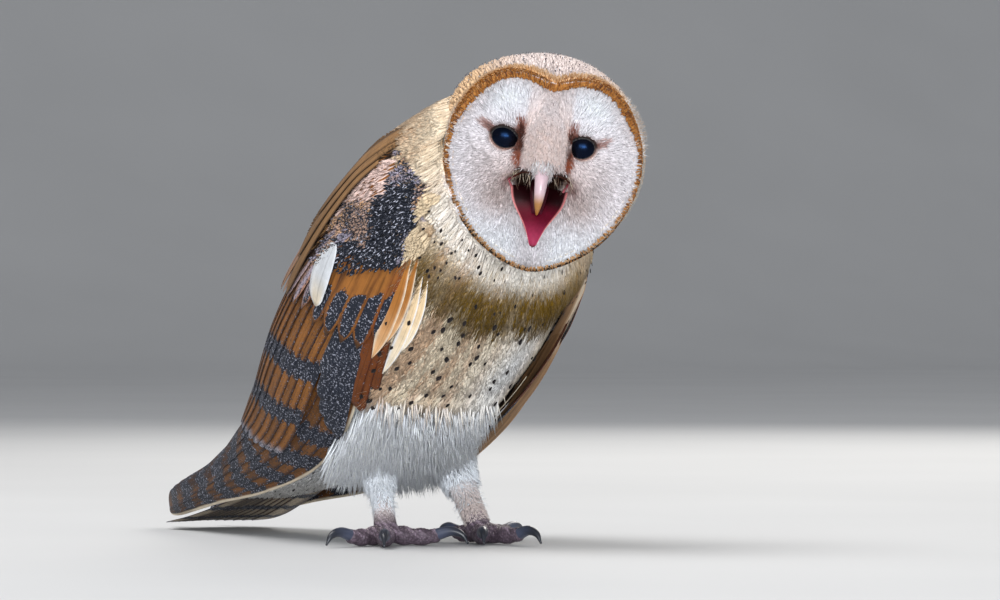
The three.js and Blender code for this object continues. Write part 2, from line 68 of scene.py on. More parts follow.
# ---- driving dimensions, the same as the solids' ----
HULL = {
    "x": [13, 5, 1, -2, -3, -4, -5, -6, -6, -6],
    "y": [-67, -46, -28, -2, 30, 62, 98, 138, 178, 214],
    "z": [164, 139, 121, 99, 74, 51, 33, 20, 12, 7],
    "half_width": [36, 49, 54, 56, 55, 47, 38, 29, 21, 9],
    "belly": [14, 32, 44, 47, 42, 31, 21, 11, 7, 3],
    "back": [37, 50, 54, 54, 45, 33, 20, 12, 8, 4],
    "wing_front": [76, 72, 62, 50, 38, 36, 48, 62, 70, 80],
    "wing_back": [140, 150, 160, 166, 170, 172, 174, 175, 176, 176],
}
SQUARENESS = 2.3
HEAD = {
    "centre": (12, -69, 157),
    "yaw": -30,
    "pitch": 8,
    "roll": 8,
    "rim": 27,
    "nape": 44,
    "crown": 42.5,
    "cheek": 42,
    "throat": 40,
}
DISC_RADII = [31, 38.5, 38.5, 37.8, 37, 38.5, 41.5]
EYE = {"x": 16, "z": 9.8, "radius": 8.5, "depth": 6.5}
BILL_UPPER = {
    "y": [-31, -33.5, -36.9, -39.2, -39.2, -37.2],
    "z": [3.5, 1.5, -3, -8.5, -14, -18.6],
    "half_width": [3.2, 3.0, 2.75, 2.3, 1.6, 0.45],
}
BILL_LOWER = {
    "y": [-22, -31, -38, -41.5],
    "z": [-10, -15.5, -23.5, -31],
    "half_width": [11.5, 9.8, 4.3, 1.1],
    "thickness": [3, 3, 2.6, 1.2],
}
TONGUE = {"y": [-20, -28, -35.5], "z": [-6.5, -11, -18.5], "half_width": [3.4, 3.6, 2]}
TAIL = {
    "x": -6,
    "y": [88, 117, 145, 171, 196],
    "z": [29, 18.5, 11, 4.6, 1.1],
    "half_width": [13, 16, 19, 22, 23],
    "round_tip": 7,
}
FEET = {
    "right": {
        "at": (-21.5, 0),
        "ankle": (-13, 27, 50),
        "hip": (-19, 8, 84),
        "fullness": 1.0,
        "toes": {
            "outer": (-0.97, -0.25),
            "middle": (-0.5, -0.87),
            "inner": (0.7, -0.71),
            "hind": (0.3, 0.95),
        },
    },
    "left": {
        "at": (22.5, 0),
        "ankle": (17, 28, 50),
        "hip": (14, 8, 84),
        "fullness": 1.2,
        "toes": {
            "outer": (0.9, 0.44),
            "middle": (0.2, -0.98),
            "inner": (-0.45, -0.89),
            "hind": (-0.3, 0.95),
        },
    },
}
TOE_LENGTHS = {"outer": 21, "middle": 26, "inner": 23, "hind": 14}
CLAW_LENGTH = 13
PAD = {"height": 6, "radius": 7.2}
PAD_SKIN = {"radius": 0.86 * PAD["radius"], "middle": 5.0, "half_height": 4.9}

low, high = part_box("foot_right")
SHIFT = np.array([(low.x + high.x) * 500 + 21.5, (low.y + high.y) * 500, 0.0])
COAT_DEPTH = {"body": 3.4, "head": 2.2, "face": 0.9}

# ---- colours, as seen in even light, except where a note below marks painted shade or highlight ----
SRGB = {
    "disc": (242, 238, 243),
    "disc_blush": (216, 190, 182),
    "ridge": (236, 214, 207),
    "rust": (84, 36, 18),
    "eyelid": (176, 134, 124),
    "lid_dark": (20, 14, 14),
    "gold": (190, 132, 66),
    "gold_deep": (140, 78, 24),
    "ruff_dark": (44, 28, 16),
    "ruff_white": (242, 238, 230),
    "crown": (232, 219, 218),
    "crown_buff": (230, 192, 150),
    "speck": (86, 76, 84),
    "buff": (228, 200, 160),
    # the breast's gold darkened: painted shadow of the head below the chin
    "olive": (92, 68, 0),
    "cream": (236, 222, 198),
    "white": (240, 244, 250),
    "spot": (32, 26, 26),
    "amber": (164, 106, 48),
    "amber_pale": (216, 168, 120),
    "amber_dark": (100, 58, 26),
    "slate": (31, 35, 46),
    "slate_pale": (156, 158, 172),
    "lilac": (168, 160, 178),
    "tail": (186, 170, 146),
    "fold": (140, 104, 66),
    # near black brown; also used as painted shadow along the wing's gaps
    "fold_dark": (44, 28, 18),
    "tan": (204, 168, 136),
    "shin": (216, 202, 198),
    "toe": (90, 76, 88),
    # partly the toes' paler scales, partly painted highlight
    "toe_pale": (158, 140, 156),
    "claw": (66, 72, 92),
    "bill": (198, 172, 180),
    "bill_tip": (158, 108, 50),
    "lip": (204, 126, 126),
    "mouth": (136, 40, 68),
    # near black: painted shade deep in the mouth, for its lining, the lower bill's root and the
    # tongue
    "throat": (28, 5, 8),
}


def linear(rgb):
    c = np.array(rgb, float) / 255
    return np.where(c <= 0.04045, c / 12.92, ((c + 0.055) / 1.055) ** 2.4)


C = SimpleNamespace(**{name: linear(rgb) for name, rgb in SRGB.items()})


# ---- small tools ----
def through(values, t):
    """A smooth value through evenly spaced values, t from 0 to 1."""
    v = np.asarray(values, float)
    last = len(v) - 1
    x = np.clip(t, 0, 1) * last
    i = np.minimum(np.floor(x).astype(int), last - 1)
    f = x - i
    a, b, c, d = (v[np.clip(i + k, 0, last)] for k in (-1, 0, 1, 2))
    curve = 2 * a - 5 * b + 4 * c - d + f * (3 * (b - c) + d - a)
    return b + 0.5 * f * (c - a + f * curve)


def mix(a, b, t):
    return a + (b - a) * t


def smooth(x, start, end):
    t = np.clip((np.asarray(x, float) - start) / (end - start), 0, 1)
    return t * t * (3 - 2 * t)


def fading(x, start, end):
    return 1 - smooth(x, start, end)


def power(x, exponent):
    return np.sign(x) * np.abs(x) ** exponent


def unit(v):
    return v / np.maximum(np.linalg.norm(v, axis=-1, keepdims=True), 1e-9)


def blend(a, b, share):
    """Colours a to b by share, one share for each row."""
    return a + (b - a) * np.asarray(share)[..., None]


def layered(base, *layers):
    """The base with each (colour, share) blended over it in turn."""
    for colour, share in layers:
        base = blend(base, colour, share)
    return base


def rows_of(colour, count):
    return colour * np.ones((count, 3))


def between(low, high, like):
    """A random value from low to high for each item of like."""
    return rng.uniform(low, high, len(like))


def turns(count, whole=360):
    """Evenly spaced angles round a whole turn."""
    return np.linspace(0, whole, count + 1)[:-1]


def over_grid(*axes):
    return (grid.ravel() for grid in np.meshgrid(*axes))


def inside(polygon, x, y):
    """For each point, whether it is inside the closed outline."""
    found = np.zeros(np.shape(x), bool)
    for (x0, y0), (x1, y1) in zip(polygon, polygon[1:] + polygon[:1]):
        crosses = (y0 > y) != (y1 > y)
        found ^= crosses & (x < (x1 - x0) * (y - y0) / (y1 - y0 + 1e-12) + x0)
    return found


# ---- surfaces: each gives points for two coordinates and a height ----
def hull_centre(u):
    return np.stack([through(HULL[k], u) for k in "xyz"], -1)


def hull(u, angle, rise):
    """The plumage hull: u along it, angle in degrees from the belly line towards the owl's left."""
    along = unit(hull_centre(u + 0.01) - hull_centre(u - 0.01))
    up = unit(np.array([0, 0, 1.0]) - along * along[..., 2:3])
    side = np.cross(along, up)
    turn = np.radians(angle)
    s, c = power(np.sin(turn), 2 / SQUARENESS), power(np.cos(turn), 2 / SQUARENESS)
    depth = np.where(c > 0, through(HULL["belly"], u), through(HULL["back"], u))
    width = np.maximum(through(HULL["half_width"], u) + rise, 0.8)
    depth = np.maximum(depth + rise, 0.8)
    return hull_centre(u) + side * (width * s)[..., None] - up * (depth * c)[..., None]


def fall(u, angle):
    """How far the breast lies in from the hull's side where the left wing stands off it."""
    beside = smooth(angle, 12, 50) * fading(angle, 62, 95)
    depth = mix(6.5, 11.0, smooth(u, 0.34, 0.43))
    return depth * beside * smooth(u, 0.17, 0.25) * fading(u, 0.5, 0.58)


def body(u, angle, rise):
    """The plumage's surface on the neck, breast and belly."""
    return hull(u, angle, rise - fall(u, angle))


def wing_angle(u, v):
    return mix(through(HULL["wing_front"], u), through(HULL["wing_back"], u), v)


def wing(side):
    """A wing's surface: v goes from its front edge to its back edge."""
    return lambda u, v, rise: hull(u, side * wing_angle(u, v), rise)


def turn_matrix(yaw, pitch, roll):
    y, p, r = np.radians([yaw, pitch, roll])
    rz = [[np.cos(y), -np.sin(y), 0], [np.sin(y), np.cos(y), 0], [0, 0, 1]]
    rx = [[1, 0, 0], [0, np.cos(p), -np.sin(p)], [0, np.sin(p), np.cos(p)]]
    ry = [[np.cos(r), 0, np.sin(r)], [0, 1, 0], [-np.sin(r), 0, np.cos(r)]]
    return np.array(rz) @ np.array(rx) @ np.array(ry)


HEAD_TURN = turn_matrix(HEAD["yaw"], HEAD["pitch"], HEAD["roll"])


def in_head(points):
    return np.asarray(points, float) @ HEAD_TURN.T + np.array(HEAD["centre"], float)


def disc_radius(angle):
    around = np.abs((np.asarray(angle) + 180) % 360 - 180)
    return through(DISC_RADII, around / 180)


def disc_share(x, z):
    """How far a place is from the face's middle, as a share of the way to its rim."""
    return np.hypot(x, z) / disc_radius(np.degrees(np.arctan2(x, z)))


def bump(x, z, at_x, at_z, width):
    """A soft round patch, 1 at its middle."""
    return np.exp(-((x - at_x) ** 2 + (z - at_z) ** 2) / width**2)


def face_rise(x, z):
    side = np.abs(x)
    share = np.minimum(disc_share(side, z), 1)
    bowl = -6.5 * (1 - share**3) * smooth(side, 0, 12)
    ridge = mix(11.5, 3, smooth(z, -4, 36)) * np.exp(-((x / 6.8) ** 2)) * smooth(z, -9, -3)
    cheek = 3.5 * bump(side, z, 15, -4, 9) + 2 * bump(side, z, 17, 24, 9)
    return -0.0044 * x * x - 0.0012 * z * z + bowl + ridge * (1 - share**6) + cheek


def face_local(x, z, rise):
    return np.stack([x, -HEAD["rim"] - face_rise(x, z) - rise, z], -1)


def face(x, z, rise):
    return in_head(face_local(x, z, rise))


def to_head(points):
    """Points in the head's own frame, and how far each is from its axis, as a share of the rim."""
    local = (np.asarray(points, float) - np.array(HEAD["centre"], float)) @ HEAD_TURN
    return local, disc_share(local[..., 0], local[..., 2])


def clear_of_head(points):
    """Whether points lie outside the head and not in front of the face."""
    local, share = to_head(points)
    in_front = (local[..., 1] < 14 - HEAD["rim"]) & (share < 1.09)
    within = share**2 + (np.maximum(local[..., 1], 0) / HEAD["nape"]) ** 2 < 0.8
    return ~(in_front | within)


def behind_face(points):
    """The same points, those that would stand in front of the face drawn back behind it."""
    local, share = to_head(points)
    deepest = -HEAD["rim"] - face_rise(local[..., 0], local[..., 2]) + 4
    drawn = np.maximum(local[..., 1], deepest)
    local[..., 1] = np.where(share < 1.06, drawn, local[..., 1])
    return in_head(local)


def head_local(angle, share, rise):
    """The head: angle in degrees from the top, share 0 to 1 over the face and 1 to 2 behind it."""
    turn = np.radians(angle)
    s, c = np.sin(turn), np.cos(turn)
    rim = disc_radius(angle)
    front = face_local(s * rim * np.minimum(share, 1), c * rim * np.minimum(share, 1), rise)
    rim_y = -HEAD["rim"] - face_rise(s * rim, c * rim)
    full = np.hypot(s * HEAD["cheek"], c * np.where(c > 0, HEAD["crown"], HEAD["throat"]))
    back = HEAD["nape"] + rise
    y = mix(rim_y, back, (1 - np.cos(np.pi * np.clip(share - 1, 0, 0.985))) / 2)
    near = mix(rim, full, np.sin(np.pi / 2 * np.clip(1 - y / rim_y, 0, 1)))
    far = full * np.sqrt(np.maximum(1 - np.clip(y / back, 0, 1) ** 2.2, 0))
    radius = np.where(y < 0, near, far) + rise
    behind = np.stack([s * radius, y, c * radius], -1)
    return np.where((share > 1)[..., None], behind, front)


def head(angle, share, rise):
    return in_head(head_local(angle, share, rise))


def limb_line(points):
    """A smooth line through points, read by its share of length."""
    p = np.array(points, float)
    p = np.vstack([2 * p[0] - p[1], p, 2 * p[-1] - p[-2]])
    t = np.linspace(0, 1, 80)
    x = t * (len(p) - 3)
    i = np.minimum(x.astype(int), len(p) - 4)
    f = (x - i)[:, None]
    a, b, c, d = (p[i + k] for k in range(4))
    line = b + 0.5 * f * (c - a + f * (2 * a - 5 * b + 4 * c - d + f * (3 * (b - c) + d - a)))
    length = np.r_[0, np.cumsum(np.linalg.norm(np.diff(line, axis=0), axis=1))]
    return line, length / length[-1]


def limb(points, radii):
    """A round limb: t along it, angle round it."""
    line, share = limb_line(points)

    def surface(t, angle, rise):
        def at(s):
            return np.stack([np.interp(np.clip(s, 0, 1), share, line[:, k]) for k in range(3)], -1)

        along = unit(at(t + 0.02) - at(t - 0.02))
        side = unit(np.cross([0, 0, 1.0], along) + np.array([1e-6, 0, 0]))
        up = np.cross(along, side)
        turn = np.radians(angle)
        radius = (through(radii, t) + rise)[..., None]
        across = side * radius * np.cos(turn)[..., None]
        return at(t) + across + up * radius * np.sin(turn)[..., None]

    return surface


def spot(*values):
    return np.array(values, float)


def on_shin(leg, share):
    return mix(spot(*leg["ankle"]), spot(*leg["at"], PAD["height"]), share)


# ---- meshes ----
def make_object(name, points, faces, colours):
    """A smooth-shaded object; faces holds a row of point numbers for each face."""
    corners = faces.shape[1]
    mesh = bpy.data.meshes.new(name)
    mesh.vertices.add(len(points))
    mesh.loops.add(faces.size)
    mesh.polygons.add(len(faces))
    placed = (np.asarray(points) + SHIFT) / 1000
    mesh.vertices.foreach_set("co", placed.astype(np.float32).ravel())
    mesh.loops.foreach_set("vertex_index", faces.astype(np.int32).ravel())
    mesh.polygons.foreach_set("loop_start", np.arange(0, faces.size, corners, dtype=np.int32))
    mesh.update(calc_edges=True)
    mesh.polygons.foreach_set("use_smooth", np.ones(len(faces), bool))
    if colours is not None:
        add_colours(mesh, colours)
    made = bpy.data.objects.new(name, mesh)
    bpy.context.scene.collection.objects.link(made)
    return made


def add_colours(mesh, colours):
    layer = mesh.attributes.new("coat", "FLOAT_COLOR", "POINT")
    rgba = np.ones((len(mesh.vertices), 4), np.float32)
    rgba[:, :3] = np.clip(colours, 0, 1)
    layer.data.foreach_set("color", rgba.ravel())


def add_vectors(mesh, name, values):
    layer = mesh.attributes.new(name, "FLOAT_VECTOR", "POINT")
    layer.data.foreach_set("vector", np.asarray(values, np.float32).ravel())


def finish_piece(made, material, replaced=()):
    made.data.materials.append(material)
    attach(made, "root")
    if replaced:
        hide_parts(*replaced)
    return made


def loft(rings):
    """Points and triangles of a closed body through rings of points, each end closed with a fan."""
    rings = np.asarray(rings, float)
    k, n = rings.shape[:2]
    i, j = np.meshgrid(np.arange(k - 1), np.arange(n), indexing="ij")
    a, b = i * n + j, i * n + (j + 1) % n
    faces = [np.stack([a, b, b + n], -1).reshape(-1, 3),
             np.stack([a, b + n, a + n], -1).reshape(-1, 3)]
    points = [rings.reshape(-1, 3), rings[0].mean(0)[None], rings[-1].mean(0)[None]]
    j = np.arange(n)
    last = (k - 1) * n
    faces.append(np.stack([(j + 1) % n, j, np.full(n, k * n)], -1))
    faces.append(np.stack([last + j, last + (j + 1) % n, np.full(n, k * n + 1)], -1))
    points, faces = np.vstack(points), np.vstack(faces)
    return outward(points, faces)


def outward(points, faces):
    a, b, c = (points[faces[:, k]] for k in range(3))
    if np.einsum("ij,ij->i", a, np.cross(b, c)).sum() < 0:
        faces = faces[:, ::-1]
    return points, faces


def ring_loop(rings):
    """A closed ring through sections, the last joined to the first."""
    rings = np.asarray(rings, float)
    k, n = rings.shape[:2]
    i, j = np.meshgrid(np.arange(k), np.arange(n), indexing="ij")
    a, b = i * n + j, i * n + (j + 1) % n
    c, d = (i + 1) % k * n + j, (i + 1) % k * n + (j + 1) % n
    faces = np.vstack([np.stack([a, b, d], -1).reshape(-1, 3),
                       np.stack([a, d, c], -1).reshape(-1, 3)])
    return outward(rings.reshape(-1, 3), faces)


def joined(bodies):
    starts = np.cumsum([0, *(len(points) for points, _ in bodies)])
    faces = [faces + start for (_, faces), start in zip(bodies, starts)]
    return np.vstack([points for points, _ in bodies]), np.vstack(faces)


def add_root_map(mesh, places):
    """The OFBake map: each vertex's place on the skin's unwrap."""
    layer = mesh.uv_layers.new(name="OFBake")
    corner = np.zeros(len(mesh.loops), np.int32)
    mesh.loops.foreach_get("vertex_index", corner)
    uv = np.clip(places, 0.001, 0.999)[corner]
    layer.data.foreach_set("uv", uv.astype(np.float32).ravel())


def feather_piece(name, material, parts):
    """One joined mesh of parts, each with its points, faces, colours and feather maps."""
    whole = {key: np.concatenate([part[key] for part in parts]) for key in parts[0]}
    faces = whole["faces"]
    made = make_object(name, whole["points"], faces, whole["colours"])
    add_vectors(made.data, "vane", whole["vane"])
    add_vectors(made.data, "pepper", np.column_stack([whole["pepper"]] * 3))
    add_root_map(made.data, whole["map"])
    print(f"{name}: {(faces.shape[1] - 2) * len(faces)} triangles")
    return finish_piece(made, material)


# ---- the coat ----
# About how many tufts are scattered over each part, before those that fall outside it are dropped.
COUNT = {
    "disc": 27000,
    "ridge": 5200,
    "fringe": 480,
    "whiskers": 56,
    "ruff": 5200,
    "loose": 170,
    "crown": 8400,
    "crown_wisps": 3400,
    "specks": 900,
    "neck": 8600,
    "neck_wisps": 6000,
    "breast": 14000,
    "belly": 2200,
    "breast_wisps": 9500,
    "belly_wisps": 3600,
    "neck_spots": 230,
    "mantle": 5200,
    "coverts_right": 6800,
    "coverts_left": 4600,
    "belly_fringe": 5200,
    "thigh": 5600,
    "shin": 3000,
    "shin_hairs": 420,
    "toe_hairs": 70,
    "undertail": 4200,
}
TUFT = {"t": [0, 0.5], "w": [0.75, 1]}  # a thin tuft: two rings and a tip
LEAF = {"t": [0, 0.45, 0.82], "w": [0.5, 1, 0.7]}  # a soft small feather
SPOT = {"t": [0, 0.4, 0.75], "w": [0.3, 1, 0.8]}  # a dark drop


def along_surface(surface, p, q, flow):
    """The coordinate steps for a millimetre along the flow, and for a millimetre across it."""
    step = 1e-3
    ep, eq = flow["scale"]
    at = surface(p, q, np.zeros_like(p))
    sp = (surface(p + step * ep, q, np.zeros_like(p)) - at) / step
    sq = (surface(p, q + step * eq, np.zeros_like(p)) - at) / step
    normal = unit(np.cross(sp, sq))
    outward_way = surface(p, q, np.ones_like(p)) - at
    normal *= np.sign((normal * outward_way).sum(-1, keepdims=True))
    fp, fq = flow["way"](p, q)
    tangent = unit(sp * fp[..., None] + sq * fq[..., None])
    side = np.cross(normal, tangent)
    gram = np.stack([(sp * sp).sum(-1), (sp * sq).sum(-1), (sq * sq).sum(-1)], -1)
    det = np.maximum(gram[..., 0] * gram[..., 2] - gram[..., 1] ** 2, 1e-9)

    def steps(vector):
        a, b = (sp * vector).sum(-1), (sq * vector).sum(-1)
        dp = (gram[..., 2] * a - gram[..., 1] * b) / det
        dq = (gram[..., 0] * b - gram[..., 1] * a) / det
        return dp * ep, dq * eq

    return steps(tangent), steps(side)


def tufts(surface, flow, p, q, length, width, colour, *, lift, thick, shape=TUFT, swing=10,
          curl=0.0, tip_colour=None, arch=0.2, way=None):
    """Arrays of one piece's tufts, each a thin closed blade that lies along the surface.

    length and width are a tuft's in millimetres, swing how far its lie strays in degrees, lift its
    height at the root and tip, and curl how far its tip bends aside.
    """
    n = len(p)
    length, width = np.broadcast_to(length, n), np.broadcast_to(width, n)
    (tp, tq), (bp, bq) = along_surface(surface, p, q, flow)
    turn = np.radians(rng.normal(0, 1, n) * swing) + (0 if way is None else way)
    bend = rng.normal(0, 1, n) * curl
    root, tip = (np.broadcast_to(x, n) for x in lift)
    stations = [*shape["t"], 1.0]
    lines = []
    for t in [*stations, 1.02]:
        reach = length * t
        off = bend * length * t * t
        dp = (np.cos(turn) * tp + np.sin(turn) * bp) * reach + bp * off
        dq = (np.cos(turn) * tq + np.sin(turn) * bq) * reach + bq * off
        lines.append(surface(p + dp, q + dq, mix(root, tip, t**1.5)))
    lines = np.stack(lines, 1)
    along = unit(np.diff(lines, axis=1))
    above = surface(p, q, np.ones(n)) - surface(p, q, np.zeros(n))
    normal = unit(above)[:, None, :] * np.ones((1, len(stations), 1))
    side = unit(np.cross(normal, along))
    normal = np.cross(along, side)
    lines = lines[:, :-1]
    points, colours, vanes = [], [], []
    tip_colour = colour if tip_colour is None else tip_colour
    for k, w in enumerate(shape["w"]):
        half = (width * w / 2)[:, None]
        shade = mix(colour, tip_colour, stations[k])
        for s in (-1, 0, 1):
            up = thick if s == 0 else -arch * half
            points.append(lines[:, k] + side[:, k] * half * s + normal[:, k] * up)
            colours.append(shade)
            vanes.append(np.stack([np.full(n, stations[k]), np.full(n, float(s))], -1))
    points.append(lines[:, -1])
    colours.append(rows_of(tip_colour, n))
    vanes.append(np.tile([1.0, 0.0], (n, 1)))
    return {
        "points": np.stack(points, 1),
        "colours": np.stack(colours, 1),
        "vanes": np.stack(vanes, 1),
        "faces": blade_faces(len(shape["w"])),
        "roots": lines[:, 0],
        "root_colours": colour,
        "place": np.stack(flow["place"](p, q), -1),
    }


def blade_faces(rings):
    faces = [(0, 1, 2)]
    for k in range(rings - 1):
        a = 3 * k
        for i, j in ((0, 1), (1, 2), (2, 0)):
            faces += [(a + i, a + 3 + j, a + j), (a + i, a + 3 + i, a + 3 + j)]
    last, tip = 3 * (rings - 1), 3 * rings
    faces += [(last + i, tip, last + j) for i, j in ((0, 1), (1, 2), (2, 0))]
    return np.array(faces)


SKIN_MARKS = []  # places and colours that the skin takes its markings from
TUFT_PATCH = (0.003, 0.0015)  # a tuft's patch of the OFBake map


def coat_piece(name, material, slot, *groups, mark_skin=True):
    """One joined mesh of several arrays of tufts."""
    parts, count = [], 0
    for g in groups:
        n, k = g["points"].shape[:2]
        start = count + np.arange(n)[:, None, None] * k
        vane = g["vanes"].reshape(-1, 2)
        parts.append({
            "points": g["points"].reshape(-1, 3),
            "faces": (g["faces"][None] + start).reshape(-1, 3),
            "colours": g["colours"].reshape(-1, 3),
            "vane": np.column_stack([vane, np.repeat(rng.random(n), k)]),
            "pepper": np.repeat(g.get("mark", np.zeros(n)), k),
            "map": np.repeat(g["place"], k, 0) + (vane - [0.5, 0]) * TUFT_PATCH,
        })
        count += n * k
        if mark_skin:
            SKIN_MARKS.append((g["roots"], rows_of(g["root_colours"], n)))
    return feather_piece(name, material, parts)


def only(group, keep):
    """The group's tufts where keep says so."""
    rows = ("points", "colours", "vanes", "roots", "place")
    kept = {key: group[key][keep] for key in rows}
    colour = rows_of(group["root_colours"], len(keep))
    return {**kept, "faces": group["faces"], "root_colours": colour[keep]}


def beside_head(group):
    return only(group, clear_of_head(group["points"][:, 0]) & clear_of_head(group["points"][:, -1]))


def scatter(count, p_range, q_range, keep=None):
    """About count even random places in a patch of coordinates, where keep says so."""
    p, q = rng.uniform(*p_range, count), rng.uniform(*q_range, count)
    if keep is not None:
        chosen = keep(p, q)
        p, q = p[chosen], q[chosen]
    return p, q


def varied(colour, amount):
    """The rows of colour, each lighter or darker by a random share."""
    return colour * (1 + rng.normal(0, amount, (len(colour), 1)))


def wobble(p, q, seed, scale=1.0):
    """A smooth random value about 0 to 1 over two coordinates."""
    local = np.random.default_rng(seed)
    total = 0
    for _ in range(5):
        a, b, c = local.normal(0, scale), local.normal(0, scale), local.uniform(0, 6.3)
        total = total + np.sin(p * a + q * b + c)
    return 0.5 + total / 6


MAP_EDGE, MAP_SPAN = 0.02, 0.96  # the OFBake map's margin, and what it leaves


def round_map(angle):
    """A place on the OFBake map by degrees round a surface."""
    return MAP_EDGE + MAP_SPAN * ((angle % 360) / 360)


def long_map(share):
    """A place on the OFBake map by the share of a surface's length."""
    return MAP_EDGE + MAP_SPAN * np.clip(share, 0, 1)


def along_first(p, q):
    """Feathers lie along a surface's first coordinate."""
    return np.ones_like(p), np.zeros_like(p)


def along_second(p, q):
    return np.zeros_like(p), np.ones_like(p)


def back_along_second(p, q):
    return np.zeros_like(p), -np.ones_like(p)


# How feathers lie on each surface: its coordinates' scale, their way, and their OFBake places.
FACE_FLOW = {
    "scale": (1, 1),
    "place": lambda x, z: (0.5 + x / 92, 0.5 + z / 92),
}
HEAD_FLOW = {
    "scale": (10, 0.1),
    "way": along_second,
    "place": lambda a, s: (round_map(a), long_map(s / 2)),
}
HULL_FLOW = {
    "scale": (0.01, 2),
    "way": along_first,
    "place": lambda u, a: (MAP_EDGE + MAP_SPAN * (a + 180) / 360, long_map(u)),
}
WING_FLOW = {
    "scale": (0.01, 0.02),
    "way": along_first,
    "place": lambda u, v: (0.1 + 0.8 * np.clip(v, -0.1, 1.1), long_map(u)),
}
LIMB_FLOW = {
    "scale": (0.03, 5),
    "way": along_first,
    "place": lambda t, a: (round_map(a), long_map(t)),
}


# ---- materials ----
def rgba(colour):
    return (*colour, 1)


class Look:
    """A material and its nodes; most of its functions add a node and give that node's output."""

    def __init__(self, name):
        self.material = bpy.data.materials.new(name)
        self.material.use_nodes = True
        self.nodes = self.material.node_tree.nodes
        self.links = self.material.node_tree.links
        self.shader = self.nodes["Principled BSDF"].inputs

    def fill(self, inputs, values):
        """Sets each named input to a value, or links it to another node's output."""
        for name, value in values.items():
            if isinstance(value, bpy.types.NodeSocket):
                self.links.new(value, inputs[name])
            else:
                inputs[name].default_value = value

    def add(self, kind, values=None, **settings):
        made = self.nodes.new(kind)
        for key, setting in settings.items():
            setattr(made, key, setting)
        self.fill(made.inputs, values or {})
        return made

    def attribute(self, name, output="Vector"):
        made = self.add("ShaderNodeAttribute", attribute_name=name, attribute_type="GEOMETRY")
        return made.outputs[output]

    def place(self):
        return self.add("ShaderNodeTexCoord").outputs["Object"]

    def noise(self, vector, scale, detail, roughness=0.6, stretch=None):
        """A noise texture over the given vector, stretched along its axes if asked."""
        if stretch is not None:
            vector = self.add("ShaderNodeMapping",
                              {"Scale": stretch, "Vector": vector}).outputs["Vector"]
        values = {"Scale": scale, "Detail": detail, "Roughness": roughness, "Vector": vector}
        return self.add("ShaderNodeTexNoise", values).outputs["Fac"]

    def ramp(self, value, *stops):
        """The value turned into a grey or a colour, between two stops."""
        made = self.add("ShaderNodeValToRGB", {"Fac": value})
        for element, (at, shade) in zip(made.color_ramp.elements, stops):
            element.position = at
            element.color = rgba([shade] * 3 if np.isscalar(shade) else shade)
        return made.outputs["Color"]

    def maths(self, operation, *values):
        return self.add("ShaderNodeMath", dict(enumerate(values)), operation=operation).outputs[0]

    def mixed(self, share, a, b, kind="MIX"):
        made = self.add("ShaderNodeMix", data_type="RGBA", blend_type=kind)
        inputs = {socket.name: socket for socket in made.inputs if socket.enabled}
        self.fill(inputs, {"Factor": share, "A": a, "B": b})
        return next(socket for socket in made.outputs if socket.enabled)

    def times(self, a, b, share=1.0):
        return self.mixed(share, a, b, "MULTIPLY")

    def bumped(self, height, strength, distance):
        values = {"Strength": strength, "Distance": distance, "Height": height}
        normal = self.add("ShaderNodeBump", values).outputs["Normal"]
        self.fill(self.shader, {"Normal": normal})

    def finished(self, values):
        self.fill(self.shader, values)
        return self.material


def down_material(name, grain):
    """Soft plumage: the tuft's own colour, grained along its barbs, dull with a faint sheen."""
    look = Look(name)
    coat, vane, place = look.attribute("coat", "Color"), look.attribute("vane"), look.place()
    fine, broad = look.noise(place, 1400, 2), look.noise(place, 160, 3)
    light = look.ramp(fine, (0.3, 1 - grain), (0.7, 1 + grain))
    shade = look.ramp(broad, (0.3, 0.93), (0.7, 1.05))
    colour = look.times(look.times(coat, light), shade)
    look.bumped(look.noise(vane, 9, 2, stretch=(1, 5, 40)), 0.25, 0.0002)
    return look.finished({
        "Base Color": colour,
        "Roughness": 0.72,
        "Specular IOR Level": 0.14,
        "Sheen Weight": 0.06,
        "Sheen Roughness": 0.5,
    })


DOWN = down_material("down", grain=0.1)
FACE_DOWN = down_material("face_down", grain=0.07)


# ---- the face ----
EYE_AT = {"right": (-16.6, 8.2), "left": (14.5, 8.0)}
BALL_AT = {"right": (-16.5, 8.1), "left": (14.8, 7.9)}
EYE_TILT = np.radians(13)
INNER_CORNER = (8.5, 4)
LID_EDGE = 0.12  # how far the lids' edges stand off the eyeball
LID_COVER = 0.75  # and the feathers over them
ALMOND = {"out": 5.0, "in": 6.0, "up": 3.9, "pinch": 0.34}  # half sizes of the eye's opening
MOUTH = [(-12.4, -7.6), (-8, -4), (8, -3.6), (11, -5.2), (3.8, -23.5), (0.4, -33), (-4.0, -24.5)]


def eye_distance(x, z):
    """About how far a place is outside the nearer eye's opening, in millimetres."""
    found = []
    for ex, ez in EYE_AT.values():
        dx, dz = (x - ex) * np.sign(ex), z - ez
        a = dx * np.cos(EYE_TILT) + dz * np.sin(EYE_TILT)
        b = dz * np.cos(EYE_TILT) - dx * np.sin(EYE_TILT)
        width = np.where(a < 0, ALMOND["in"], ALMOND["out"])
        height = ALMOND["up"] * (1 - ALMOND["pinch"] * np.clip(-a / width, 0, 1) ** 2)
        found.append((np.hypot(a / width, b / height) - 1) * ALMOND["up"])
    return np.minimum(*found)


def on_ridge(x, z):
    width = mix(8.8, 3.0, smooth(z, 9, 25))
    return (np.abs(x) < width) & (z > mix(-2.4, -0.3, smooth(np.abs(x), 1.5, 3.5)))


